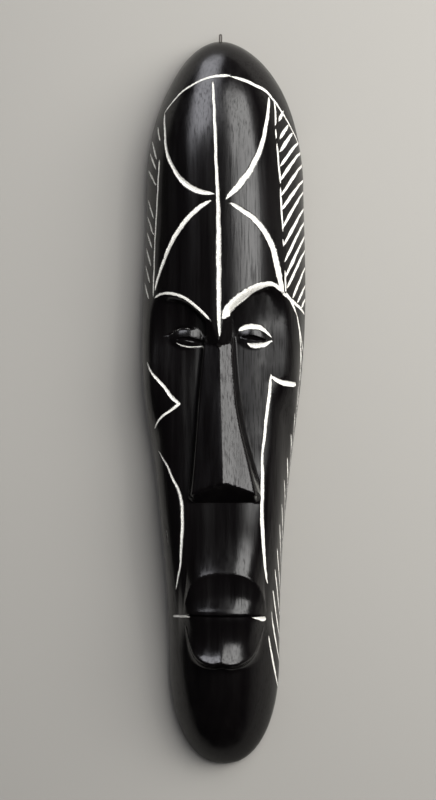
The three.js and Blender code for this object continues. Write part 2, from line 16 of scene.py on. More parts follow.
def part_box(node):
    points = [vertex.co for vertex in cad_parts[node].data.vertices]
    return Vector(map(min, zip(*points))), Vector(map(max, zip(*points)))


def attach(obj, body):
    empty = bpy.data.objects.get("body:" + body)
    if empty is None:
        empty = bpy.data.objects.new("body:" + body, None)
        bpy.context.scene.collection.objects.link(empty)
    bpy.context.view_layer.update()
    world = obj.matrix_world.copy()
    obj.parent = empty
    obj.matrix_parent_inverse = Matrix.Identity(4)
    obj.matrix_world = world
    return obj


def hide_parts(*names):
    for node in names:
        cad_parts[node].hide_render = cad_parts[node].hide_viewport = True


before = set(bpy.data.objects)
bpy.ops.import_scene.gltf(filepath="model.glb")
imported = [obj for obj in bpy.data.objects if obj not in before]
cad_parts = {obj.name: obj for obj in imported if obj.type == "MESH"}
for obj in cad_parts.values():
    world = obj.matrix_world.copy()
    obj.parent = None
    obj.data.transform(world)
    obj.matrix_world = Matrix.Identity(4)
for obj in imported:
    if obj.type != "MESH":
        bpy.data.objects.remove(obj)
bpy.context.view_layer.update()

MM = 0.001
SEED = 7
rng = np.random.default_rng(SEED)
SIDES = (("right", 1), ("left", -1))
VIEW_TURN = math.radians(5.5)  # the camera stands this far to the right of the face


# Curves and blends

def spline(points, flat=False):
    """A smooth curve through (place, value) pairs, held beyond its ends; flat makes its ends level."""
    x, y = np.array(points, float).T
    count = len(x)
    step = np.diff(x)
    slope = np.diff(y) / step
    rows = np.eye(count)
    change = np.zeros(count)
    for i in range(1, count - 1):
        rows[i, i - 1:i + 2] = step[i - 1], 2 * (step[i - 1] + step[i]), step[i]
        change[i] = 6 * (slope[i] - slope[i - 1])
    if flat:
        rows[0, :2] = 2 * step[0], step[0]
        rows[-1, -2:] = step[-1], 2 * step[-1]
        change[[0, -1]] = 6 * slope[0], -6 * slope[-1]
    bend = np.linalg.solve(rows, change)

    def at(place):
        place = np.clip(np.asarray(place, float), x[0], x[-1])
        i = np.clip(np.searchsorted(x, place) - 1, 0, count - 2)
        before, after = place - x[i], x[i + 1] - place
        cubic = (bend[i] * after ** 3 + bend[i + 1] * before ** 3) / (6 * step[i])
        start = (y[i] / step[i] - bend[i] * step[i] / 6) * after
        return cubic + start + (y[i + 1] / step[i] - bend[i + 1] * step[i] / 6) * before

    return at


def path_through(points, spacing, steps=24):
    """Evenly spaced places on a smooth path through points of any number of coordinates."""
    points = np.array(points, float)
    ends = np.vstack([2 * points[0] - points[1], points, 2 * points[-1] - points[-2]])
    t = np.linspace(0, 1, steps, endpoint=False)[:, None]
    spans = []
    for a, b, c, d in zip(ends, ends[1:], ends[2:], ends[3:]):
        spans.append(0.5 * (2 * b + (c - a) * t + (2 * a - 5 * b + 4 * c - d) * t ** 2
                            + (3 * b - a - 3 * c + d) * t ** 3))
    fine = np.vstack(spans + [points[-1:]])
    along = np.concatenate([[0], np.cumsum(np.linalg.norm(np.diff(fine[:, :2], axis=0), axis=1))])
    count = max(2, int(round(along[-1] / spacing)) + 1)
    places = np.linspace(0, along[-1], count)
    return np.stack([np.interp(places, along, column) for column in fine.T], 1)


def smooth_step(start, end, value):
    t = np.clip((np.asarray(value, float) - start) / (end - start), 0, 1)
    return t * t * (3 - 2 * t)


def soft_min(a, b, blend):
    """The smaller of two numbers, rounded over where they are within a blend of each other."""
    h = np.clip(0.5 + 0.5 * (b - a) / blend, 0, 1)
    return b + (a - b) * h - blend * h * (1 - h)


def soft_max(a, b, blend):
    return -soft_min(-a, -b, blend)


# The plain form of the block

HALF = 300
WIDTHS = spline([(-212, 45.8), (-119, 48.4), (-39, 57.4), (27, 65.6), (90, 67.4), (180, 65)], flat=True)
HEIGHTS = spline([(-212, 54), (-79, 57), (58, 62), (180, 64)], flat=True)
SQUARENESS = spline([(-300, 2), (-235, 2.1), (-185, 2.6), (-150, 3.4), (-115, 4.1), (-50, 4.1), (10, 3.6),
                     (70, 2.7), (110, 2.55), (300, 2.1)])
# The round ends: plan and profile are the powers of their curves, of which 2 gives an ellipse
CROWN = dict(start=180, side=1, width=65, height=64, plan=1.9, profile=2.4)
CHIN = dict(start=-212, side=-1, width=45.8, height=54, plan=2.2, profile=1.75)
# How far to the right the long axis leans at each height, and how far from it the middle of the face lies
LEAN = spline([(-300, -1.3), (-100, -0.6), (30, -1.5), (150, 0.4), (225, 0), (270, -0.4), (300, -3)])
MIDDLE = spline([(-300, 1.5), (-150, 5), (-60, 5.5), (50, 2), (265, -3.3)])


def section_size(along, size, roundness, y):
    """Size of a cross section at a height, closed round at the crown and the chin."""
    y = np.asarray(y, float)
    found = along(y)
    for end in (CROWN, CHIN):
        out = np.clip(end["side"] * (y - end["start"]) / (HALF - abs(end["start"])), 0, 1)
        closed = end[size] * (1 - out ** end[roundness]) ** (1 / end[roundness])
        found = np.where(out > 0, closed, found)
    return found


def half_width(y):
    return section_size(WIDTHS, "width", "plan", y)


def front_height(y):
    return section_size(HEIGHTS, "height", "profile", y)


def plain_radius(turn, y):
    """Distance of the plain form from the long axis."""
    square = SQUARENESS(y)
    across = np.abs(np.sin(turn)) / np.maximum(half_width(y), 1e-3)
    out = np.abs(np.cos(turn)) / np.maximum(front_height(y), 1e-3)
    return (across ** square + out ** square) ** (-1 / square)


def across_face(turn, y):
    """How far a place lies to the right of the middle of the face."""
    return plain_radius(turn, y) * np.sin(turn) - MIDDLE(y)


def seen_across(turn, y):
    """How far a place lies to the right of the long axis, as the camera sees it."""
    return plain_radius(turn, y) * np.sin(turn - VIEW_TURN)


def solve_turn(measure, wanted, y, halvings=24):
    """The turn at which a measure that grows with the turn is as wanted."""
    wanted, y = np.broadcast_arrays(np.asarray(wanted, float), np.asarray(y, float))
    low, high = np.full(y.shape, -math.pi / 2), np.full(y.shape, math.pi / 2)
    for _ in range(halvings):
        turn = (low + high) / 2
        short = measure(turn, y) < wanted
        low, high = np.where(short, turn, low), np.where(short, high, turn)
    return (low + high) / 2


def turn_across(u, y):
    """The turn of the place that lies u to the right of the middle of the face."""
    return solve_turn(across_face, u, y)


# The eye hollows

BROWS = {
    "right": [(-3, 44), (0.5, 55), (2.8, 69), (4.6, 76), (8, 80.5), (13.6, 85.8), (20, 90.3), (30, 95.5),
              (42, 97.5), (50, 92), (57, 82), (61, 68), (62.5, 48), (62, 28), (68, 8), (80, -20)],
    "left": [(-3, 43), (1.6, 53), (4.3, 60.3), (7.7, 67), (18.5, 78), (29, 85.4), (40, 88.7), (49, 87.8),
             (55, 84), (59, 78), (62, 66), (63, 48), (62, 25), (68, 5), (80, -20)],
}
HOLLOW_TOP = {side: max(y for _, y in points) for side, points in BROWS.items()}
HOLLOW_FLOOR = dict(height=-120, fade=20)
SCOOP = spline([(-100, 0), (-50, 4), (0, 10), (50, 13), (100, 13)], flat=True)
# A wall drops its share of a hollow's depth within its width, and the rest slopes on down to the eye. The
# wall under the brow gives way to the one at the temple from start to end across the face.
BROW_WALL = dict(width=7, share=0.55, power=1.8)
TEMPLE_WALL = dict(width=24, share=0.1, start=42, end=60)
SLOPE = dict(length=42, swell=0.2, power=5)
CHEEK = dict(reach=76, power=2.4)  # a hollow gets shallower towards this distance across the face
TEMPLE_FADE = (math.radians(54), math.radians(74))
BROW_EDGES = {side: path_through(points, 2) for side, points in BROWS.items()}


def inside_hollow(side, u, y):
    """How far a place lies inside an eye hollow, counted from the brow edge; less than 0 outside it."""
    edge = BROW_EDGES[side]
    floor = HOLLOW_FLOOR["height"]
    ring = np.vstack([edge, [edge[-1, 0], floor], [edge[0, 0], floor]])
    inside = np.zeros(u.shape, bool)
    for a, b in zip(ring, np.roll(ring, -1, axis=0)):
        if a[1] != b[1]:
            crosses = (a[1] > y) != (b[1] > y)
            inside ^= crosses & (u < (b[0] - a[0]) * (y - a[1]) / (b[1] - a[1]) + a[0])
    nearest = np.full(u.shape, np.inf)
    for a, b in zip(edge, edge[1:]):
        run = b - a
        along = np.clip(((u - a[0]) * run[0] + (y - a[1]) * run[1]) / (run @ run), 0, 1)
        nearest = np.minimum(nearest, np.hypot(u - a[0] - along * run[0], y - a[1] - along * run[1]))
    return np.where(inside, nearest, -nearest)


def hollow_inset(u, y):
    """Distance inside the brow edge of either hollow."""
    return np.where(u < 0, inside_hollow("left", np.abs(u), y), inside_hollow("right", np.abs(u), y))


def hollow_depth(u, y, turn, inset):
    """Depth of the eye hollows: steep under the brow, shallower towards the temple and the cheek."""
    top = np.where(u < 0, HOLLOW_TOP["left"], HOLLOW_TOP["right"])
    slope = np.clip((top - y) / SLOPE["length"], 0, 1)
    swell = SLOPE["swell"]
    slope = slope * (1 + swell - swell * slope ** SLOPE["power"])
    temple = smooth_step(TEMPLE_WALL["start"], TEMPLE_WALL["end"], np.abs(u))
    under_brow = np.clip(inset / BROW_WALL["width"], 0, 1) ** BROW_WALL["power"]
    wall = (1 - temple) * under_brow + temple * smooth_step(0, TEMPLE_WALL["width"], inset)
    share = BROW_WALL["share"] + (TEMPLE_WALL["share"] - BROW_WALL["share"]) * temple
    spread = 1 - np.minimum(np.abs(u) / CHEEK["reach"], 1) ** CHEEK["power"]
    fade = 1 - smooth_step(*TEMPLE_FADE, np.abs(turn))
    floor = smooth_step(HOLLOW_FLOOR["height"], HOLLOW_FLOOR["height"] + HOLLOW_FLOOR["fade"], y)
    return SCOOP(y) * wall * (share + (1 - share) * slope) * spread * fade * floor


# The block that is left between the hollows, down to the step where the nose starts

BLOCK = dict(foot=47, step=48, head=48.2, slope=0.5, wall=4)  # its step rises from foot to head
BLOCK_HALF = spline([(40, 10.6), (62, 11), (70, 9.5), (84, 2)])


def block_depth(u, y, inset):
    """How far the block's two slopes and its walls lie below the plain form."""
    return BLOCK["slope"] * np.maximum(inset, 0) + BLOCK["wall"] * np.maximum(np.abs(u) - BLOCK_HALF(y), 0)


# The eyes: low domes between two lids

EYE = dict(across=32.3, height=53, long=15, tall=9.5, proud=3.4, power=0.9)


def eye_height(u, y):
    across = (np.abs(u) - EYE["across"]) / EYE["long"]
    up = (y - EYE["height"]) / EYE["tall"]
    return EYE["proud"] * np.clip(1 - across ** 2 - up ** 2, 0, 1) ** EYE["power"]


# The mouth: a line between two scooped lips, under a muzzle that sweeps out to the edge of the upper one

MOUTH = dict(height=-170.5, gap=1, gap_depth=2.5, reach=30.5, foot=-245)
MOUTH_SIDE = dict(reach=38, square=5, power=1.25)  # the muzzle's own sides
UPPER_LIP = 34
LOWER_LIP = 39.5
NOTCH = dict(across=-1, half=3, height=1.5)  # in the lower edge of the lower lip
# The muzzle falls back under the nose, from one height to the other, and below the mouth
MUZZLE = dict(flare=8, sweep=23, under_nose=(-72, -48), fall=34)
LIP_FOOT = dict(middle=6, more=20)  # the wood under the lower lip falls back over this height
# How far each lip stands out, by the share of its height
UPPER_OUT = spline([(0, 10.3), (0.05, 10.6), (0.15, 9.7), (0.28, 8.4), (0.42, 7.4), (0.6, 7.1), (0.85, 7.4),
                    (1, 8)])
LOWER_OUT = spline([(0, 9.6), (0.08, 9.8), (0.2, 9.3), (0.35, 8.7), (0.5, 8.6), (0.6, 9), (0.7, 9.8),
                    (0.8, 11), (0.9, 12.7), (0.97, 14), (1, 13.6)])


def lip_fullness(u):
    """How full the lips are across: 1 in the middle, 0 at their ends."""
    return np.clip(1 - np.abs(u / MOUTH["reach"]) ** 2.8, 0, 1)


def upper_lip_top(u):
    return MOUTH["height"] + UPPER_LIP * np.sqrt(lip_fullness(u))


def lower_lip_foot(u):
    notch = NOTCH["height"] * np.exp(-((u - NOTCH["across"]) / NOTCH["half"]) ** 2)
    return MOUTH["height"] - LOWER_LIP * np.sqrt(lip_fullness(u)) + notch


def mouth_height(u, y):
    """How far the muzzle and the lips stand out from the face."""
    line = MOUTH["height"]
    side = np.clip(1 - np.abs(u / MOUTH_SIDE["reach"]) ** MOUTH_SIDE["square"], 0, 1) ** MOUTH_SIDE["power"]
    full = lip_fullness(u)
    top, foot = upper_lip_top(u), lower_lip_foot(u)
    above, below = np.maximum(y - top, 0), np.maximum(foot - y, 0)
    under_nose = 1 - smooth_step(*MUZZLE["under_nose"], y)
    muzzle = MUZZLE["flare"] * np.exp(-above / MUZZLE["sweep"]) * under_nose
    upper = (y - line) / np.maximum(top - line, 0.01)
    lower = (line - y) / np.maximum(line - foot, 0.01)
    run = LIP_FOOT["middle"] + LIP_FOOT["more"] * np.abs(u / MOUTH["reach"]) ** 3
    lip = np.where(lower > 0, LOWER_OUT(lower) * np.clip(1 - below / run, 0, 1) ** 2, UPPER_OUT(upper))
    fallen = MUZZLE["flare"] * np.clip(1 - (line - y) / MUZZLE["fall"], 0, 1) ** 2
    mound = np.where(lower > 0, fallen, MUZZLE["flare"])
    lip = mound + (lip - mound) * full
    gap = np.clip(1 - ((y - line) / MOUTH["gap"]) ** 2, 0, 1)
    cut = MOUTH["gap_depth"] * gap * np.minimum(full / 0.6, 1)
    return np.where(y > MOUTH["foot"], np.where(above > 0, muzzle, lip) * side - cut, 0)


# The nose: a long wedge with two roof facets, two steep walls and an underside cut back to its base

# The roof falls by its share of the way across, and the walls end this far out beyond it
NOSE = dict(tip=-64, out=74.2, base=-80, root=54, ridge_fall=15 / 114, roof=0.33, walls=11)
DROOP = dict(height=7, half=22, most=1.2, power=1.3)  # of the facets' ends towards the sides
ROOF = {
    "right": spline([(-80, 27.5), (-46, 20.8), (-21, 15.6), (5, 12.2), (54, 10.2)]),
    "left": spline([(-80, 26.4), (-33, 21.5), (25, 15.5), (54, 12)]),
}
NOSE_WALL = {"right": 4.2, "left": 3}
EDGE_ROUND, RIDGE_ROUND = 1, 0.8
FAR = 1000


def nose_radius(turn, y):
    """Distance of the nose's facets from the long axis, or 0 away from the nose."""
    middle = MIDDLE(y)
    ridge = NOSE["out"] - (y - NOSE["tip"]) * NOSE["ridge_fall"]

    def to_plane(sign, steepness, across, out):
        lean = np.cos(turn) + steepness * sign * np.sin(turn)
        reach = (out + steepness * (across + sign * middle)) / np.maximum(lean, 0.05)
        return np.where(lean > 0.05, reach, FAR)

    nose = np.full(np.shape(turn), float(FAR))
    for side, sign in SIDES:
        half = ROOF[side](y)
        roof = to_plane(sign, NOSE["roof"], 0, ridge)
        wall = to_plane(sign, NOSE_WALL[side], half, ridge - NOSE["roof"] * half)
        nose = soft_min(nose, soft_min(roof, wall, EDGE_ROUND), RIDGE_ROUND)
    u = nose * np.sin(turn) - middle
    there = (y <= NOSE["root"]) & (y > NOSE["base"]) & (np.abs(u) <= ROOF["left"](y) + NOSE["walls"])
    return np.where(there, nose, 0)


def nose_end(u):
    """Where the facets end above the underside."""
    aside = np.minimum(np.abs(u) / DROOP["half"], DROOP["most"])
    return NOSE["tip"] - DROOP["height"] * aside ** DROOP["power"]


def nose_share(u, y):
    """How much of the nose's height stands at a place: less and less down its underside."""
    return np.clip((y - NOSE["base"]) / (nose_end(u) - NOSE["base"]), 0, 1)


RIM_ROUND = 1.6  # the edge of the rim is rubbed round


def face_place(turn, y):
    """Places on the carved face."""
    plain = plain_radius(turn, y)
    u = plain * np.sin(turn) - MIDDLE(y)
    inset = hollow_inset(u, y)
    face = plain - hollow_depth(u, y, turn, inset) + eye_height(u, y) + mouth_height(u, y)
    block = soft_max(face, plain - block_depth(u, y, inset), np.clip(inset, 0.02, 1))
    face += (block - face) * smooth_step(BLOCK["foot"], BLOCK["head"], y)
    nose = nose_radius(turn, y)
    across = np.maximum(nose, face) * np.sin(turn) - MIDDLE(y)
    radius = face + (soft_max(face, nose, EDGE_ROUND) - face) * nose_share(across, y)
    x, z = radius * np.sin(turn), radius * np.cos(turn)
    short = np.clip(RIM_ROUND - z, 0, RIM_ROUND)
    pull = RIM_ROUND - np.sqrt(RIM_ROUND ** 2 - short ** 2)
    x = np.sign(x) * np.maximum(np.abs(x) - pull, 0)
    return np.stack([x + LEAN(y), y, z], -1)


# The face laid flat: a sheet of about the face's own sizes, in which the mesh is planned

HEIGHT_STEPS = HALF * np.sin(np.linspace(-math.pi / 2, math.pi / 2, 1201))
FLAT_STEPS = np.cumsum(np.hypot(np.diff(HEIGHT_STEPS), np.diff(front_height(HEIGHT_STEPS))))
FLAT_STEPS = np.concatenate([[0], FLAT_STEPS])


def girth(y):
    return (half_width(y) + front_height(y)) / 2


def lay_flat(turn, y):
    return np.stack([turn * girth(y), np.interp(y, HEIGHT_STEPS, FLAT_STEPS)], -1)


def lift_up(flat):
    """The turn and height of places on the flat sheet."""
    y = np.interp(flat[:, 1], FLAT_STEPS, HEIGHT_STEPS)
    size = girth(y)
    turn = np.where(size > 0.05, flat[:, 0] / np.maximum(size, 0.05), 0)
    return np.clip(turn, -math.pi / 2, math.pi / 2), y


def beside(turn, y, distance, small=1e-3):
    """Places that lie a distance to the left of a path of places, square to it over the plain form."""

    def place(turn, y):
        radius = plain_radius(turn, y)
        return np.stack([radius * np.sin(turn) + LEAN(y), y, radius * np.cos(turn)], -1)

    by_turn = (place(turn + small, y) - place(turn - small, y)) / (2 * small)
    by_height = (place(turn, y + small) - place(turn, y - small)) / (2 * small)
    ahead = by_turn * np.gradient(turn)[:, None] + by_height * np.gradient(y)[:, None]
    out = np.cross(by_turn, by_height)
    aside = np.cross(out, ahead)
    aside *= (distance / np.linalg.norm(aside, axis=1) / np.sum(out ** 2, 1))[:, None]
    return (turn + np.sum(aside * np.cross(by_height, out), 1),
            y + np.sum(aside * np.cross(out, by_turn), 1))


# The cuts: (turn in degrees, height, width of the cut) along each line

CUT_DEPTH = 0.42  # as a share of a cut's width
EDGE_WAVE = 3.0303  # length of the waves in a cut's edge
KNIFE_FACET, GOUGE_SCOOP = 9.0909, 13.3333  # width of the tool marks
CUTS = {
    "centre": [(-5.5, 259, 1.5), (-3.5, 239.5, 2), (-2, 216.5, 2.3), (-1, 187, 2.4), (0, 158, 3),
               (0.5, 128, 4), (1, 98, 3.7), (1.5, 76, 3.4), (2, 60, 2.4), (2, 54, 1.4)],
    "crown left": [(-51, 236.5, 1.4), (-44.5, 243.5, 1.6), (-33.5, 253, 1.8), (-21.5, 259, 1.7),
                   (-10, 263, 1.9), (0.5, 264.5, 2.5), (8.5, 264.5, 2.6)],
    "crown right": [(12, 263.5, 1.6), (22, 261, 2.8), (31.5, 257.5, 2.9), (38.5, 255, 2.9), (44, 252, 2.8),
                    (49, 246.5, 2.6), (56.5, 237.5, 2.3), (64.5, 228, 2.1), (75, 218.5, 2.1),
                    (84, 213.5, 2.2)],
    "left upper arc": [(-50, 235.5, 1.9), (-44.5, 221.5, 2.4), (-41.5, 209, 2.7), (-37.5, 198, 3),
                       (-31, 186, 3.3), (-23, 176, 4.4), (-14, 170, 4), (-4, 168, 2.4)],
    "right upper arc": [(44, 248, 2), (40, 235.5, 2.8), (35.5, 220, 3.2), (30.5, 204, 3.8), (23, 187, 4.5),
                        (15, 175, 5), (10, 169, 4), (6, 164, 1.8)],
    "left lower arc": [(-6, 162, 2.4), (-15, 156, 3.6), (-24, 146, 3.8), (-33, 132, 3.7), (-40, 116, 3.3),
                       (-46, 100, 2.4), (-48, 92, 1.6)],
    "right lower arc": [(9, 160, 2), (15, 156, 3.4), (24, 149, 4), (32, 139, 4.6), (38, 127, 5),
                        (42, 112, 5.4), (45, 100, 5.5), (47, 92, 4.6)],
    "right side": [(49.5, 245, 1.4), (47.5, 234.5, 1.8), (45.5, 225.5, 1.7)],
    "right side, upper": [(45, 221, 1.6), (44.5, 214.5, 1.7)],
    "right side, middle": [(44.5, 208.5, 1.6), (44.5, 196, 1.7), (45, 187, 1.8), (45.5, 178, 1.9)],
    "right side, lower": [(45.5, 173.5, 1.6), (46, 158, 2), (47, 139.5, 1.4)],
    "right side, tip": [(47, 131.5, 1.5), (47.5, 127, 1.3)],
    "right side, foot": [(49, 106.5, 1.5), (49.5, 90.5, 1.8)],
    "left side": [(-56.5, 225.5, 1.5), (-49, 214, 1.8)],
    "left side, foot": [(-47, 197, 1.6), (-47.5, 182, 1.7), (-48.5, 163, 1.6), (-50, 137, 1.7),
                        (-50, 115, 1.7), (-50, 88, 1.5)],
    "divider": [(49.5, 88.5, 2), (55, 83.5, 2.9), (64.5, 79, 2.9), (73, 76, 2.4), (82, 73.5, 2)],
    "temple edge": [(50.5, 89, 2), (56, 81, 2.4), (60.5, 74, 2)],
    "cheek angle": [(-53, 33, 1.2), (-48.5, 25, 1.8), (-42, 15, 2.4), (-37, 6, 2.8), (-31, -0.5, 3)],
    "cheek angle, foot": [(-31, 0, 2.6), (-36, -5, 2.1), (-42.5, -10, 1.8), (-51, -20, 1.3)],
    "cheek stroke": [(42.5, 22, 2.4), (47.5, 18, 3.6), (53.5, 16, 4.3), (63.5, 15, 3.8)],
    "cheek line": [(42.5, 23, 1.7), (41, 6, 2.6), (39, -9, 2.6), (37, -27, 2.3), (35, -42, 1.9),
                   (34.5, -61.5, 2.8), (33.5, -84.5, 2.9), (34, -100.5, 3.3), (36, -123, 2.7),
                   (38.5, -139, 2), (40.5, -145, 1.2)],
    "cheek curve": [(-47.5, -39.5, 1.3), (-40.5, -48.5, 2.3), (-36, -58.5, 2.7), (-30.5, -69.5, 3),
                    (-28.5, -77.5, 3.2), (-27.5, -92.5, 3.7), (-29, -111.5, 3.5), (-30.5, -127.5, 2.7),
                    (-33.5, -140.5, 2), (-37, -150.5, 1.2)],
    "jaw nick": [(-42.5, -103, 1.2), (-42.5, -115, 1)],
    "mouth left": [(-44.5, -173.5, 1.8), (-31, -172, 2), (-21, -171.5, 1.8)],
    "mouth right": [(25, -171.5, 1.2), (30.5, -172.5, 2.8), (35.5, -173.5, 4.4), (39, -174.5, 5)],
}
# Lids and slits of the eyes: (outwards from the eye's middle, up from it, width)
EYE_CUTS = {
    "right upper lid": [(-12.6, 6.2, 3.6), (-6.7, 8.3, 4.2), (-0.6, 8.9, 4.6), (5.3, 8.2, 4.1),
                        (9.3, 5.9, 3.2), (14, 0.9, 1.3)],
    "right slit": [(-11, 0.6, 2.6), (-1.8, 0.2, 4.2), (9.4, -2.1, 2.2)],
    "right lower lid": [(-5.8, -4.8, 2.2), (-2.3, -6.3, 3.9), (2.4, -6.6, 4.8), (8.6, -5.7, 4.2),
                        (14.2, -2.9, 2.2)],
    "left upper lid": [(16.3, 2, 1.6), (12.1, 3.9, 2.4), (8.9, 6.7, 3.6), (1, 8, 4), (-8, 7.3, 2.4)],
    "left slit": [(7.2, -1.1, 1.4), (-0.2, -0.5, 3), (-9.7, -2.3, 3), (-15.2, -4.1, 1.4)],
    "left lower lid": [(7.7, -4.3, 1.8), (3.6, -6.4, 2.5), (-2.5, -7.6, 2.2), (-8.7, -7.4, 1.8),
                       (-14.8, -6.7, 2)],
}
# How well the clay fills a cut, where that isn't 1
FILLS = {"right slit": 0, "left slit": 0, "left upper lid": 0.5, "left lower lid": 0.75, "cheek curve": 0.85,
         "jaw nick": 0.7}
# Side bands, from an inner to an outer turn: their strokes are (height at the inner end, at the outer end),
# and their shares are of the width, along a stroke
FOREHEAD_BAND = dict(outer=87, width=3, shares=(0.7, 1.1, 1.05, 0.6), strokes=[
    (229, 238), (214.5, 227), (203.5, 221), (191.5, 214.5), (180.5, 207.5), (167.5, 197), (156.5, 184.5),
    (142.5, 175), (128, 161), (115, 150), (102.5, 138), (94, 126.5), (86, 112.5), (82, 97.5), (78, 86)])
FOREHEAD_INNER = spline([(78, 70.4), (86, 57), (95, 51), (110, 49), (165, 46.3), (192, 46.3), (229, 50)])
FIRST_ENDS = [59.5, 62.5, 68, 80]  # the crown line stops the first strokes at these turns
TEMPLE_BAND = dict(outer=-65, width=2.2, shares=(0.8, 1.1, 0.6), strokes=[
    (199, 215), (191, 205), (179, 191), (151, 167), (139, 153), (127, 140), (113, 127), (99, 113), (86, 98)])
TEMPLE_INNER = spline([(86, -56.085), (199, -51)])
# The jaw's strokes fall by fall, and by steeper more for each millimetre that they start below low
JAW_BAND = dict(outer=88, fall=30, steeper=0.09, low=-20, sway=1.5, width=2.5, shares=(0.5, 1.05, 1.1, 0.7),
                heights=[72, 58, 45, 30, 12, -10, -27, -45, -64, -82, -100, -117, -134, -152, -170, -190])
JAW_INNER = spline([(-190, 48), (-134, 51), (-82, 57), (-27, 67.5), (45, 70), (72, 62)])


def band_stroke(band, inner, start, end, outer=None):
    """A stroke straight across the face from a height at an inner turn to one at an outer turn."""
    seen = seen_across(np.radians([float(inner), outer or band["outer"]]), np.array([start, end]))
    t = np.linspace(0, 1, 7)
    y = start + (end - start) * t
    turn = np.degrees(solve_turn(seen_across, seen[0] + (seen[1] - seen[0]) * t, y))
    shares = np.interp(t, np.linspace(0, 1, len(band["shares"])), band["shares"])
    return [(a, b, band["width"] * share * rng.uniform(0.85, 1.15)) for a, b, share in zip(turn, y, shares)]


def band_strokes():
    strokes = []
    for i, (start, end) in enumerate(FOREHEAD_BAND["strokes"]):
        outer = FIRST_ENDS[i] if i < len(FIRST_ENDS) else None
        strokes.append(band_stroke(FOREHEAD_BAND, FOREHEAD_INNER(start), start, end, outer))
    for start, end in TEMPLE_BAND["strokes"]:
        strokes.append(band_stroke(TEMPLE_BAND, TEMPLE_INNER(start), start, end))
    band = JAW_BAND
    for high in band["heights"]:
        low = high - band["fall"] - band["steeper"] * max(band["low"] - high, 0)
        high, low = np.array([high, low]) + rng.uniform(-band["sway"], band["sway"])
        strokes.append(band_stroke(band, JAW_INNER(high), high, low))
    return strokes


def eye_cuts():
    """The lids and slits as cuts like the others."""
    cuts = {}
    for name, points in EYE_CUTS.items():
        side = -1 if name.startswith("left") else 1
        cuts[name] = [(math.degrees(turn_across(side * (EYE["across"] + out), EYE["height"] + up)),
                       EYE["height"] + up, width) for out, up, width in points]
    return cuts


STATION = 1.6  # spacing of the places along a cut
RADIUS = 60  # a usual distance from the long axis, by which turns and heights are measured alike
# The carver's hand: how far it sways, over which lengths, and how long a cut runs out at its ends
HAND = dict(sway=0.12, lengths=(2.6, 4.1, 6.5), run_out=3, blunt=0.7)


def cut_paths():
    """Each cut as (turn, height, width, fill) at even stations, a little unsteady, tapered at both ends."""
    cuts = [(points, FILLS.get(name, 1)) for name, points in {**CUTS, **eye_cuts()}.items()]
    paths = []
    for points, fill in cuts + [(points, 1) for points in band_strokes()]:
        places = path_through([(math.radians(t) * RADIUS, y, w) for t, y, w in points], STATION)
        count = len(places)
        stations = np.arange(count) * STATION
        sway = sum(rng.uniform(-HAND["sway"], HAND["sway"]) * np.sin(stations / length + rng.uniform(0, 6.3))
                   for length in HAND["lengths"])
        ends = np.minimum(np.arange(count), np.arange(count)[::-1]) * STATION
        taper = np.sqrt(np.clip((ends + HAND["blunt"]) / HAND["run_out"], 0, 1))
        turn, y = beside(places[:, 0] / RADIUS, places[:, 1], sway)
        paths.append((turn, y, places[:, 2] * taper, fill))
    return paths


# The clay on the brows: its width by the distance across the face, where it starts, as a distance inside
# the brow edge, and the height above which it is whole
BROW_CLAY = {
    "right": dict(start=-0.3, foot=71, width=spline([
        (3, 1), (4.6, 3.6), (6, 4.8), (9, 6.4), (12.6, 7.6), (18.7, 8.4), (25, 8), (31, 6.8), (38, 4.8),
        (44, 2.8), (52, 2.2)])),
    "left": dict(start=-1.2, foot=69, width=spline([(6, 1.2), (12, 2), (20, 2.3), (40, 2.3), (50, 1.8)])),
}
CLAY_REACH = dict(inner=-3.5, outer=52, fade=4, foot_fade=8)


def brow_paint(turn, y):
    """1 in the middle of the clay on the brows, 0 at its edges and less outside it."""
    u = across_face(turn, y)
    paint = np.full(u.shape, -1.0)
    for side, sign in SIDES:
        clay = BROW_CLAY[side]
        half = clay["width"](sign * u) / 2
        band = 1 - np.abs(inside_hollow(side, sign * u, y) - clay["start"] - half) / half
        ends = 1 - smooth_step(0, CLAY_REACH["fade"], sign * u - CLAY_REACH["outer"])
        ends *= smooth_step(clay["foot"] - CLAY_REACH["foot_fade"], clay["foot"], y)
        paint = np.maximum(paint, np.where(sign * u > CLAY_REACH["inner"], band - 2 * (1 - ends), -1))
    return paint


def unpolished(turn, y):
    """How little polish there is: the cloth missed the hollow beside the nose, below the right eye."""
    x, _, z = face_place(turn, y).T
    sunk = plain_radius(turn, y) - np.hypot(x - LEAN(y), z)
    # Its outer edge is the cheek line, and above that line the temple, where it also reaches higher
    edge = 0.64 + 0.3 * smooth_step(16, 26, y)
    top = 56 + 20 * smooth_step(0.6, 0.8, turn)
    across = smooth_step(0.2, 0.4, turn) * (1 - smooth_step(edge, edge + 0.1, turn))
    return np.clip(sunk / 5, 0, 1) * across * smooth_step(-90, 0, y) * (1 - smooth_step(40, top, y))


GUIDE_REACH = 60  # the brow edge fades out beyond this


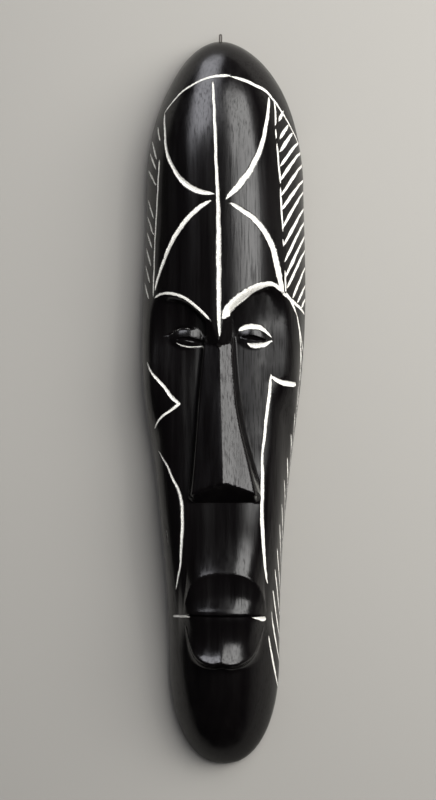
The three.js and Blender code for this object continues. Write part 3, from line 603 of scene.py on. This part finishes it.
def guide_lines():
    """Edges of the carving that the mesh keeps to, as (turn, height) paths."""
    guides = []

    def along(u, y):
        u, y = np.broadcast_arrays(u, y)
        guides.append((turn_across(u, y), y))

    for side, sign in SIDES:
        edge = BROW_EDGES[side]
        edge = edge[edge[:, 0] < GUIDE_REACH]
        turn = turn_across(sign * edge[:, 0], edge[:, 1])
        for share in (0, 0.3, 0.65, 1):
            guides.append(beside(turn, edge[:, 1], -sign * share * BROW_WALL["width"]))
    # The ridge of the nose and its two lower edges
    y = np.arange(BLOCK["step"] - STATION, NOSE["tip"] - STATION, -STATION)
    for share in (0, 1):
        for side, sign in SIDES:
            along(sign * share * ROOF[side](y), y)
    # The sides of the block and its step
    y = np.arange(BLOCK["step"], BLOCK["step"] + 24, STATION)
    for sign in (1, -1):
        along(sign * BLOCK_HALF(y), y)
    for y in (BLOCK["foot"], BLOCK["head"] + 0.1):
        along(np.linspace(-9.5, 9.5, 14), y)
    # The underside of the nose
    u = np.linspace(-24, 24, 32)
    for share in (0, 0.5, 1):
        along(u, NOSE["base"] + share * (nose_end(u) - NOSE["base"]))
    # The edges of the lips and of the gap between them
    u = np.linspace(-MOUTH["reach"] + 0.6, MOUTH["reach"] - 0.6, 44)
    foot, gap = lower_lip_foot(u), MOUTH["gap"]
    for y in (upper_lip_top(u), foot + 1.2, foot, foot - 3, MOUTH["height"] + gap, MOUTH["height"],
              MOUTH["height"] - gap):
        along(u, y)
    return guides


# The mesh

FINE, COARSE = 1.25, 2.5  # spacing of its vertices on the face's features and elsewhere
FEATURES = dict(half=46, low=-214, high=104)  # the part of the face that has them
CLEARANCE = 0.62  # of the spacing, kept free beside the lines that the mesh follows
# Rows of vertices along a cut, as shares of its half width, or of that of the narrowest if that is more
CUT_ROWS = (0, -0.35, 0.35, -0.7, 0.7, -1, 1, -1.35, 1.35)
NARROWEST = 1.4
RIM_ROWS = (0.5, 1.6)  # rows of vertices above the rim


def fill_places(spacing, wanted):
    """Places of a triangular grid over the flat face where wanted says so."""
    reach = girth(60) * math.pi / 2
    rows = np.arange(0, FLAT_STEPS[-1], spacing * math.sqrt(3) / 2)
    columns = np.arange(-reach, reach, spacing)
    flat = np.array([(x + (i % 2) * spacing / 2, s) for i, s in enumerate(rows) for x in columns])
    turn, y = lift_up(flat)
    on_sheet = np.abs(flat[:, 0]) < girth(y) * math.pi / 2 - 0.8 * spacing
    return flat[on_sheet & wanted(turn, y)]


def on_features(turn, y):
    """Whether a place is on the brows, the eyes, the nose or the mouth."""
    return (np.abs(across_face(turn, y)) < FEATURES["half"]) & (y > FEATURES["low"]) & (y < FEATURES["high"])


def face_mesh():
    """Vertices and triangles of the face, and its edge at the rim from the crown down each side."""
    count = 360
    edge_y = HALF * np.cos(np.linspace(0, math.pi, count))
    right = lay_flat(np.full(count, math.pi / 2), edge_y)
    left = lay_flat(np.full(count, -math.pi / 2), edge_y)[1:-1]
    spots, links = [right, left[::-1]], []
    ring = list(range(2 * count - 2))[::-1]
    paths = []
    for turn, y, width, _ in CUT_PATHS:
        half = np.maximum(width, NARROWEST) / 2
        paths.extend(beside(turn, y, share * half) for share in CUT_ROWS)
    paths.extend(guide_lines())
    y = HALF * np.sin(np.linspace(-1.45, 1.45, count))  # short of the tips
    for above in RIM_ROWS:
        paths.extend((side * (math.pi / 2 - above / np.maximum(girth(y), 5)), y) for side in (-1, 1))
    start = len(ring)
    for turn, y in paths:
        spots.append(lay_flat(turn, y))
        links.extend((start + i, start + i + 1) for i in range(len(turn) - 1))
        start += len(turn)
    fixed = np.vstack(spots)
    tree = kdtree.KDTree(len(fixed))
    for i, (x, s) in enumerate(fixed):
        tree.insert((x, s, 0), i)
    tree.balance()
    for spacing, wanted in ((FINE, on_features), (COARSE, lambda t, y: ~on_features(t, y))):
        places = fill_places(spacing, wanted)
        clear = [tree.find((x, s, 0))[2] > CLEARANCE * spacing for x, s in places]
        spots.append(places[clear])
    flat = np.vstack(spots)
    made = delaunay_2d_cdt([Vector(p) for p in flat], links, [ring], 1, 1e-3)
    found, triangles, sources = np.array(made[0]), np.array(made[2]), made[3]
    index_of = {source: i for i, group in enumerate(sources) for source in group}
    rights = [index_of[i] for i in range(count)]
    lefts = [index_of[0]] + [index_of[i] for i in range(2 * count - 3, count - 1, -1)] + [index_of[count - 1]]
    turn, y = lift_up(found)
    values = {"brow_paint": brow_paint(turn, y), "unpolished": unpolished(turn, y)}
    return face_place(turn, y), triangles, values, rights, lefts


WALL = 12
BACK = dict(depth=0.68, plan=0.8, profile=0.4, section=0.8)  # the last three are powers of its curves
BACK_ROWS, BACK_COLUMNS = 220, 44


def back_mesh():
    """Vertices and triangles of the hollow behind the face, and its edge at the rim down each side."""
    end = HALF - WALL
    y = end * np.cos(np.linspace(0, math.pi, BACK_ROWS))[1:-1]
    narrow = np.sqrt(1 - (y / end) ** 2)
    width = np.minimum(half_width(y) - WALL, (half_width(0) - WALL) * narrow ** BACK["plan"])
    deep = BACK["depth"] * front_height(y) * narrow ** BACK["profile"]
    turn = np.linspace(-math.pi / 2, math.pi / 2, BACK_COLUMNS)
    x = width[:, None] * np.sin(turn) + LEAN(y)[:, None]
    z = deep[:, None] * np.clip(np.cos(turn), 0, 1) ** BACK["section"]
    rows = np.stack([x, np.broadcast_to(y[:, None], x.shape), z], -1)
    tips = np.array([[LEAN(end), end, 0], [LEAN(-end), -end, 0]])
    places = np.vstack([tips, rows.reshape(-1, 3)])
    grid = 2 + np.arange(rows.shape[0] * BACK_COLUMNS).reshape(rows.shape[:2])
    a, b, c, d = grid[:-1, :-1], grid[:-1, 1:], grid[1:, 1:], grid[1:, :-1]
    corners = [(a, b, c), (a, c, d), (0 * grid[0, 1:], grid[0, 1:], grid[0, :-1]),
               (0 * grid[0, 1:] + 1, grid[-1, :-1], grid[-1, 1:])]
    triangles = np.vstack([np.stack(three, -1).reshape(-1, 3) for three in corners])
    return places, triangles, [0, *grid[:, -1], 1], [0, *grid[:, 0], 1]


def zip_rim(outer, inner, places):
    """Triangles between two rows of vertices that both run from the crown to the chin."""
    triangles = []
    i = k = 0
    while i < len(outer) - 1 or k < len(inner) - 1:
        more = k == len(inner) - 1
        if not more and i < len(outer) - 1:
            more = places[outer[i + 1], 1] > places[inner[k + 1], 1]
        if more:
            triangles.append((outer[i], outer[i + 1], inner[k]))
            i += 1
        else:
            triangles.append((outer[i], inner[k + 1], inner[k]))
            k += 1
    return np.array(triangles)


def mask_shift():
    """From the mask's own frame to the scene's, in millimetres."""
    mask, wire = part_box("mask"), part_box("hanging_wire_eye")
    x = (wire[0].x + wire[1].x) / 2 / MM - float(LEAN(HALF))
    return np.array([x, (mask[0].y + mask[1].y) / 2 / MM, 0])


SHIFT = mask_shift()


def scene_place(places):
    return (np.asarray(places) + SHIFT) * MM


def placed(name, data):
    """A new object in the scene."""
    made = bpy.data.objects.new(name, data)
    bpy.context.scene.collection.objects.link(made)
    return made


def store(mesh, name, values):
    """Keeps a number for each vertex of a mesh."""
    mesh.attributes.new(name, "FLOAT", "POINT").data.foreach_set("value", values)


def carved_blank():
    """The mask before its lines are cut, as one closed mesh."""
    front, front_faces, front_values, rights, lefts = face_mesh()
    back, back_faces, back_rights, back_lefts = back_mesh()
    offset = len(front)
    places = np.vstack([front, back])
    rim = [zip_rim(rights, [offset + i for i in back_rights], places),
           zip_rim(lefts, [offset + i for i in back_lefts], places)[:, ::-1]]
    faces = np.vstack([front_faces, back_faces + offset, *rim])
    mesh = bpy.data.meshes.new("mask")
    mesh.from_pydata(scene_place(places).tolist(), [], faces.tolist())
    hidden = mesh.attributes.new("hidden_side", "BOOLEAN", "FACE")
    hidden.data.foreach_set("value", np.arange(len(faces)) >= len(front_faces))
    for name, values in front_values.items():
        store(mesh, name, np.concatenate([values, np.full(len(back), -1.0)]))
    mesh.update()
    mesh.validate()
    return placed("blank", mesh)


# Node trees, and the kinds of node that they use most

MATH, RANGE, MIX = "ShaderNodeMath", "ShaderNodeMapRange", "ShaderNodeMix"
NOISE, BUMP = "ShaderNodeTexNoise", "ShaderNodeBump"
ATTRIBUTE = "GeometryNodeInputNamedAttribute"


def add(tree, kind, inputs=(), **settings):
    """A node with its settings, its inputs given by place or name as values, sockets or nodes."""
    node = tree.nodes.new(kind)
    for name, value in settings.items():
        setattr(node, name, value)
    for key, value in inputs.items() if isinstance(inputs, dict) else enumerate(inputs):
        sockets = [socket for socket in node.inputs if socket.enabled]
        socket = sockets[key] if isinstance(key, int) else next(s for s in sockets if s.name == key)
        if isinstance(value, bpy.types.Node):
            value = next(output for output in value.outputs if output.enabled)
        if isinstance(value, bpy.types.NodeSocket):
            tree.links.new(value, socket)
        elif value is not None:
            socket.default_value = value
    return node


def new_tree(name, inputs):
    """A geometry node tree with a geometry in and out, and named inputs with their first values."""
    tree = bpy.data.node_groups.new(name, "GeometryNodeTree")
    tree.interface.new_socket("Geometry", in_out="OUTPUT", socket_type="NodeSocketGeometry")
    tree.interface.new_socket("Geometry", in_out="INPUT", socket_type="NodeSocketGeometry")
    for label, (kind, value) in inputs.items():
        socket = tree.interface.new_socket(label, in_out="INPUT", socket_type="NodeSocket" + kind)
        if value is not None:
            socket.default_value = value
    return tree, tree.nodes.new("NodeGroupInput").outputs


def shaped(piece, tree, name, values):
    """A new object that holds what a node tree makes of a piece; the piece itself is removed."""
    modifier = piece.modifiers.new("shape", "NODES")
    modifier.node_group = tree
    labels = {item.name: item.identifier for item in tree.interface.items_tree if item.in_out == "INPUT"}
    for label, value in values.items():
        modifier[labels[label]] = value
    seen = piece.evaluated_get(bpy.context.evaluated_depsgraph_get())
    mesh = bpy.data.meshes.new_from_object(seen)
    piece.modifiers.remove(modifier)
    bpy.data.objects.remove(piece)
    return placed(name, mesh)


# Materials

def color(code):
    """A linear colour from an sRGB code such as #141214."""
    parts = [int(code[i:i + 2], 16) / 255 for i in (1, 3, 5)]
    return (*[p / 12.92 if p <= 0.04045 else ((p + 0.055) / 1.055) ** 2.4 for p in parts], 1)


def new_material(name):
    """An empty node material and its tree."""
    material = bpy.data.materials.new(name)
    material.use_nodes = True
    material.node_tree.nodes.clear()
    return material, material.node_tree


def finish_material(tree, base, roughness, normal, **more):
    inputs = {"Base Color": base, "Roughness": roughness, "Normal": normal, **more}
    surface = add(tree, "ShaderNodeBsdfPrincipled", inputs)
    add(tree, "ShaderNodeOutputMaterial", {"Surface": surface})


def repeats(size):
    """The scale of a pattern whose parts are of this size in millimetres."""
    return 1 / (size * MM)


BLACK, WORN_BLACK = "#040304", "#0c0a0a"
CLAY, CLAY_GREY = "#f4f3ee", "#9c988f"
# Patterns in the wood and the clay: size in millimetres, detail, roughness, drawn out along the grain
WOOD_PATTERNS = {
    "streaks": (1, 3, 0.6, True),
    "patches": (7.692, 3, 0.5, True),
    "specks": (0.7143, 3, 0.7, False),
    "blotches": (3.846, 4, 0.6, False),
    "wear": (22.22, 2, 0.5, False),
}


def polished_wood():
    """Close-grained hardwood stained black and rubbed with wax, with white clay pressed into its cuts.

    It is nearly as dark as black lacquer and has clear highlights, which its pores streak along the grain. It
    is dull where no cloth reaches: low on its sides, in the slits of the eyes and under the right eye. The
    clay is matt and has grey pits.
    """
    material, tree = new_material("black_polished_hardwood")
    place = add(tree, "ShaderNodeTexCoord").outputs["Object"]
    along = add(tree, "ShaderNodeMapping", {"Vector": place, "Scale": (1, 0.035, 1)})
    pattern = {name: add(tree, NOISE, {"Vector": along if drawn_out else place, "Scale": repeats(size),
                                       "Detail": detail, "Roughness": roughness})
               for name, (size, detail, roughness, drawn_out) in WOOD_PATTERNS.items()}
    marked = {name: add(tree, "ShaderNodeAttribute", attribute_name=name).outputs["Fac"]
              for name in ("clay", "dull", "unpolished")}
    wood = add(tree, MIX, {"Factor": pattern["patches"], "A": color(BLACK), "B": color(WORN_BLACK)},
               data_type="RGBA")
    sheen = add(tree, RANGE, {"Value": pattern["patches"], "From Min": 0.35, "From Max": 0.65,
                              "To Min": 0.16, "To Max": 0.27})
    worn = add(tree, MATH, (marked["unpolished"], pattern["wear"]), operation="MULTIPLY")
    sheen = add(tree, MATH, (worn, 0.8, sheen), operation="MULTIPLY_ADD")
    pores = add(tree, RANGE, {"Value": pattern["streaks"], "From Min": 0.5, "From Max": 0.66,
                              "To Min": 0.5, "To Max": 0.2})
    mirror = add(tree, RANGE, {"Value": marked["dull"], "From Max": 0.5, "To Min": pores, "To Max": 0.0})
    height = add(tree, "ShaderNodeSeparateXYZ", (place,)).outputs["Z"]
    handled = add(tree, RANGE, {"Value": height, "From Min": 12 * MM, "From Max": 50 * MM,
                                "To Min": 0.1, "To Max": 1.0})
    mirror = add(tree, MATH, (mirror, handled), operation="MULTIPLY")
    ragged = add(tree, MATH, (pattern["blotches"], 0.9, -0.45), operation="MULTIPLY_ADD")
    ragged = add(tree, MATH, (pattern["specks"], 0.9, ragged), operation="MULTIPLY_ADD")
    level = add(tree, MATH, (marked["clay"], 1.3, ragged), operation="MULTIPLY_ADD")
    filled = add(tree, RANGE, {"Value": level, "From Min": 0.42, "From Max": 0.72})
    pits = add(tree, RANGE, {"Value": pattern["specks"], "From Min": 0.36, "From Max": 0.52})
    clay = add(tree, MIX, {"Factor": pits, "A": color(CLAY_GREY), "B": color(CLAY)}, data_type="RGBA")
    base = add(tree, MIX, {"Factor": filled, "A": wood, "B": clay}, data_type="RGBA")
    rough = add(tree, MIX, {"Factor": filled, "A": sheen, "B": 0.9}, data_type="FLOAT")
    grain = add(tree, MATH, (pattern["specks"], filled, pattern["streaks"]), operation="MULTIPLY_ADD")
    bump = add(tree, BUMP, {"Strength": 0.2, "Distance": 0.1 * MM, "Height": grain})
    finish_material(tree, base, rough, bump, **{"Specular IOR Level": mirror})
    return material


def gouged_wood():
    """The same wood inside the hollow: stained but not polished, so it is dull and brown in its streaks."""
    material, tree = new_material("black_gouged_hardwood")
    place = add(tree, "ShaderNodeTexCoord").outputs["Object"]
    along = add(tree, "ShaderNodeMapping", {"Vector": place, "Scale": (1, 0.06, 1)})
    streaks = add(tree, NOISE, {"Vector": along, "Scale": repeats(1.43), "Detail": 5, "Roughness": 0.7})
    base = add(tree, MIX, {"Factor": streaks, "A": color("#17120f"), "B": color("#2c2420")}, data_type="RGBA")
    bump = add(tree, BUMP, {"Strength": 0.5, "Distance": 0.2 * MM, "Height": streaks})
    finish_material(tree, base, 0.75, bump)
    return material


def dark_wire():
    """Soft iron wire, left dull grey and patchy by the fire that it was annealed in."""
    material, tree = new_material("annealed_iron_wire")
    place = add(tree, "ShaderNodeTexCoord").outputs["Object"]
    scale = add(tree, NOISE, {"Vector": place, "Scale": repeats(0.667), "Detail": 4})
    base = add(tree, MIX, {"Factor": scale, "A": color("#3a3734"), "B": color("#6a6560")}, data_type="RGBA")
    rough = add(tree, RANGE, {"Value": scale, "To Min": 0.35, "To Max": 0.7})
    bump = add(tree, BUMP, {"Strength": 0.3, "Distance": 0.05 * MM, "Height": scale})
    finish_material(tree, base, rough, bump, Metallic=0.85)
    return material


# The carving of the surface

def line_object():
    """The middle of every cut, as edges that carry half the cut's width."""
    places, edges, halves, fills = [], [], [], []
    for turn, y, width, fill in CUT_PATHS:
        start = sum(len(p) for p in places)
        places.append(scene_place(face_place(turn, y)))
        halves.append(width / 2 * MM)
        fills.append(np.full(len(turn), float(fill)))
        edges.extend((start + i, start + i + 1) for i in range(len(turn) - 1))
    mesh = bpy.data.meshes.new("cut_lines")
    mesh.from_pydata(np.vstack(places).tolist(), edges, [])
    for name, values in (("half_width", halves), ("fill", fills)):
        store(mesh, name, np.concatenate(values))
    return placed("cut_lines", mesh)


def carving_tree():
    """Cuts the lines and the tool marks into the mask and notes where the clay is."""
    tree, given = new_tree("carving", {
        "Lines": ("Object", None), "Polished": ("Material", None), "Gouged": ("Material", None),
        "Depth": ("Float", CUT_DEPTH), "Depth when empty": ("Float", 0.6), "Unevenness": ("Float", 0.3),
        "Knife marks": ("Float", 0.12 * MM), "Gouge marks": ("Float", 0.9 * MM), "Seed": ("Float", SEED)})
    place = add(tree, "GeometryNodeInputPosition")
    lines = add(tree, "GeometryNodeObjectInfo", (given["Lines"],),
                transform_space="ORIGINAL").outputs["Geometry"]
    near = add(tree, "GeometryNodeProximity", (lines,), target_element="EDGES").outputs["Distance"]
    index = add(tree, "GeometryNodeSampleNearest", (lines,))
    half, fill = [add(tree, "GeometryNodeSampleIndex", {
        "Geometry": lines, "Value": add(tree, ATTRIBUTE, (name,), data_type="FLOAT"), "Index": index},
        data_type="FLOAT") for name in ("half_width", "fill")]
    # The cuts are round grooves, deeper where no clay fills them
    wander = add(tree, NOISE, {"Vector": place, "W": given["Seed"], "Scale": repeats(EDGE_WAVE),
                              "Detail": 2.0}, noise_dimensions="4D")
    uneven = add(tree, MATH, (wander, 0.5), operation="SUBTRACT")
    swell = add(tree, MATH, (uneven, given["Unevenness"], 1.0), operation="MULTIPLY_ADD")
    width = add(tree, MATH, (half, swell), operation="MULTIPLY")
    ratio = add(tree, MATH, (near, width), operation="DIVIDE")
    square = add(tree, MATH, (ratio, ratio), operation="MULTIPLY")
    bowl = add(tree, MATH, (1.0, square), operation="SUBTRACT", use_clamp=True)
    empty = add(tree, MATH, (1.0, fill), operation="SUBTRACT")
    share = add(tree, MATH, (empty, given["Depth when empty"], given["Depth"]), operation="MULTIPLY_ADD")
    full = add(tree, MATH, (width, share), operation="MULTIPLY")
    cut = add(tree, MATH, (bowl, full), operation="MULTIPLY")
    # The knife left faint facets on the face, and the gouge left scoops in the hollow
    stretched = add(tree, "ShaderNodeVectorMath", (place, (1, 0.4, 1)), operation="MULTIPLY")
    strokes = {"Vector": stretched, "W": given["Seed"]}
    facets = add(tree, "ShaderNodeTexVoronoi", {**strokes, "Scale": repeats(KNIFE_FACET)},
                 voronoi_dimensions="4D", feature="SMOOTH_F1")
    scoops = add(tree, "ShaderNodeTexVoronoi", {**strokes, "Scale": repeats(GOUGE_SCOOP)},
                 voronoi_dimensions="4D")
    knife = add(tree, MATH, (facets, given["Knife marks"]), operation="MULTIPLY")
    gouge = add(tree, MATH, (scoops, given["Gouge marks"]), operation="MULTIPLY")
    hidden = add(tree, ATTRIBUTE, ("hidden_side",), data_type="BOOLEAN")
    marks = add(tree, "GeometryNodeSwitch", (hidden, knife, gouge), input_type="FLOAT")
    height = add(tree, "ShaderNodeSeparateXYZ", (place,)).outputs["Z"]
    off_rim = add(tree, RANGE, {"Value": height, "From Min": 0.5 * MM, "From Max": 3 * MM})
    marks = add(tree, MATH, (marks, off_rim), operation="MULTIPLY")
    depth = add(tree, MATH, (cut, marks), operation="ADD")
    depth = add(tree, MATH, (depth, -1.0), operation="MULTIPLY")
    inward = add(tree, "ShaderNodeVectorMath", {"Vector": add(tree, "GeometryNodeInputNormal"),
                                                "Scale": depth}, operation="SCALE")
    # Clay lies in the cuts and on the brows, and the empty cuts are dull
    painted = add(tree, ATTRIBUTE, ("brow_paint",), data_type="FLOAT")
    lack = add(tree, MATH, (fill, 2.0, -1.0), operation="MULTIPLY_ADD")
    in_cut = add(tree, MATH, (lack, ratio), operation="SUBTRACT")
    clay = add(tree, MATH, (painted, in_cut), operation="MAXIMUM")
    clay = add(tree, MATH, (clay, -1.0), operation="MAXIMUM")
    dull = add(tree, MATH, (bowl, empty), operation="MULTIPLY")
    piece = given["Geometry"]
    for name, value in (("clay", clay), ("dull", dull)):
        piece = add(tree, "GeometryNodeStoreNamedAttribute",
                    {"Geometry": piece, "Name": name, "Value": value}, data_type="FLOAT")
    carved = add(tree, "GeometryNodeSetPosition", {"Geometry": piece, "Offset": inward})
    real = add(tree, "GeometryNodeRealizeInstances", (carved,))
    front = add(tree, "GeometryNodeSetMaterial", {"Geometry": real, "Material": given["Polished"]})
    whole = add(tree, "GeometryNodeSetMaterial",
                {"Geometry": front, "Selection": hidden, "Material": given["Gouged"]})
    add(tree, "NodeGroupOutput", (whole,))
    return tree


CUT_PATHS = cut_paths()
lines = line_object()
mask = shaped(carved_blank(), carving_tree(), "mask_carving",
              {"Lines": lines, "Polished": polished_wood(), "Gouged": gouged_wood()})
bpy.data.objects.remove(lines)
mask.data.shade_smooth()
mask.data.set_sharp_from_angle(angle=math.radians(50))
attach(mask, "root")
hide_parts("mask")


# The hanging eye: a hairpin of wire

WIRE = dict(thickness=1.2, spread=2.8, height=9, top=305.9, root=286)


def wire_eye():
    bend = (WIRE["spread"] - WIRE["thickness"]) / 2
    top = WIRE["top"] - WIRE["thickness"] / 2 - bend
    turns = np.linspace(0, math.pi, 13)
    path = [(bend, WIRE["root"]), *[(bend * math.cos(a), top + bend * math.sin(a)) for a in turns],
            (-bend, WIRE["root"])]
    mesh = bpy.data.meshes.new("wire_path")
    lean = float(LEAN(HALF))
    places = scene_place([(x + lean, y, WIRE["height"]) for x, y in path])
    mesh.from_pydata(places.tolist(), [(i, i + 1) for i in range(len(path) - 1)], [])
    tree, given = new_tree("wire", {"Radius": ("Float", WIRE["thickness"] / 2 * MM),
                                    "Material": ("Material", None)})
    curve = add(tree, "GeometryNodeMeshToCurve", (given["Geometry"],))
    ring = add(tree, "GeometryNodeCurvePrimitiveCircle", {"Resolution": 16, "Radius": given["Radius"]})
    tube = add(tree, "GeometryNodeCurveToMesh", {"Curve": curve, "Profile Curve": ring, "Fill Caps": True})
    smooth = add(tree, "GeometryNodeSetShadeSmooth", (tube,))
    real = add(tree, "GeometryNodeRealizeInstances", (smooth,))
    done = add(tree, "GeometryNodeSetMaterial", {"Geometry": real, "Material": given["Material"]})
    add(tree, "NodeGroupOutput", (done,))
    return shaped(placed("wire_path", mesh), tree, "wire_eye", {"Material": dark_wire()})


wire = wire_eye()
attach(wire, "root")
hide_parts("hanging_wire_eye")


# The floor, the lights and the camera

FLOOR = dict(reach=3, tint="#9b9995")  # its reach is in metres, and so are the places of the lights


def floor_plane():
    """A matt painted board, whose fine tooth gives it no gloss."""
    material, tree = new_material("pale_board")
    place = add(tree, "ShaderNodeTexCoord").outputs["Object"]
    tooth = add(tree, NOISE, {"Vector": place, "Scale": repeats(1.11), "Detail": 3})
    bump = add(tree, BUMP, {"Strength": 0.1, "Distance": 0.1 * MM, "Height": tooth})
    finish_material(tree, color(FLOOR["tint"]), 0.85, bump)
    mesh = bpy.data.meshes.new("floor")
    corners = [(x * FLOOR["reach"], y * FLOOR["reach"], 0) for x, y in ((-1, -1), (1, -1), (1, 1), (-1, 1))]
    mesh.from_pydata(corners, [], [(0, 1, 2, 3)])
    mesh.materials.append(material)
    placed("floor", mesh)


def turned(back):
    """The rotation of something that looks along -back with its top towards the crown."""
    right = Vector((0, 1, 0)).cross(back).normalized()
    return Matrix((right, back.cross(right), back)).transposed()


def softbox(name, across, up, distance, width, length, power, tint, roll=0, lights_floor=True,
            mirrored=True):
    """A rectangular light turned across and up from straight above, aimed at the mask."""
    across, up = math.radians(across), math.radians(up)
    back = Vector((math.sin(across) * math.cos(up), math.sin(up), math.cos(across) * math.cos(up)))
    data = bpy.data.lights.new(name, "AREA")
    data.shape = "RECTANGLE"
    data.size, data.size_y = width, length
    data.energy = power
    data.color = color(tint)[:3]
    light = placed(name, data)
    light.location = back * distance
    light.rotation_euler = (turned(back) @ Matrix.Rotation(math.radians(roll), 3, "Z")).to_euler()
    light.visible_camera = False
    light.visible_diffuse = lights_floor
    light.visible_glossy = mirrored


floor_plane()
softbox("key", across=22, up=24, distance=1.5, width=0.82, length=1.5, power=24, tint="#fffefc")
softbox("window", across=-37, up=56, distance=2, width=1, length=2.7, power=52, tint="#f8f8ff", roll=22,
        lights_floor=False)
softbox("room", across=52, up=18, distance=2, width=1.2, length=1.2, power=38, tint="#fffdf8",
        mirrored=False)

ROOM = dict(overhead="#1c1c1f", low_left="#403f3d", low_right="#94928e", on_matt="#7c7c7e")


def dim_room():
    """Surroundings that the polish mirrors dark overhead and paler near the floor, most so on the right."""
    world = bpy.data.worlds.new("dim_room")
    world.use_nodes = True
    tree = world.node_tree
    tree.nodes.clear()
    x, y, z = add(tree, "ShaderNodeSeparateXYZ",
                  (add(tree, "ShaderNodeTexCoord").outputs["Generated"],)).outputs
    aside = add(tree, MATH, (y,), operation="ABSOLUTE")
    height = add(tree, MATH, (aside, 0.4, z), operation="MULTIPLY_ADD")
    height = add(tree, MATH, (x, -0.1, height), operation="MULTIPLY_ADD")
    fade = add(tree, RANGE, {"Value": height, "From Min": 0.25, "From Max": 0.45})
    side = add(tree, RANGE, {"Value": x, "From Min": -1.0})
    low = add(tree, MIX, {"Factor": side, "A": color(ROOM["low_left"]), "B": color(ROOM["low_right"])},
              data_type="RGBA")
    shade = add(tree, MIX, {"Factor": fade, "A": low, "B": color(ROOM["overhead"])}, data_type="RGBA")
    on_matt = add(tree, "ShaderNodeLightPath").outputs["Is Diffuse Ray"]
    shade = add(tree, MIX, {"Factor": on_matt, "A": shade, "B": color(ROOM["on_matt"])}, data_type="RGBA")
    background = add(tree, "ShaderNodeBackground", {"Color": shade, "Strength": 1.0})
    add(tree, "ShaderNodeOutputWorld", {"Surface": background})
    return world


CAMERA = dict(distance=1600, lens=87.08, right=-4.795, up=2.728, height=12)


def place_camera():
    """The camera, straight above the mask but for its small turn to the right."""
    back = Vector((math.sin(VIEW_TURN), 0, math.cos(VIEW_TURN)))
    right = Vector((math.cos(VIEW_TURN), 0, -math.sin(VIEW_TURN)))
    target = Vector(SHIFT.tolist()) + Vector((0, CAMERA["up"], CAMERA["height"])) + right * CAMERA["right"]
    data = bpy.data.cameras.new("camera")
    data.lens = CAMERA["lens"]
    camera = placed("camera", data)
    camera.location = (target + back * CAMERA["distance"]) * MM
    camera.rotation_euler = turned(back).to_euler()
    return camera


scene = bpy.context.scene
scene.world = dim_room()
scene.camera = place_camera()
scene.view_settings.view_transform = "Standard"
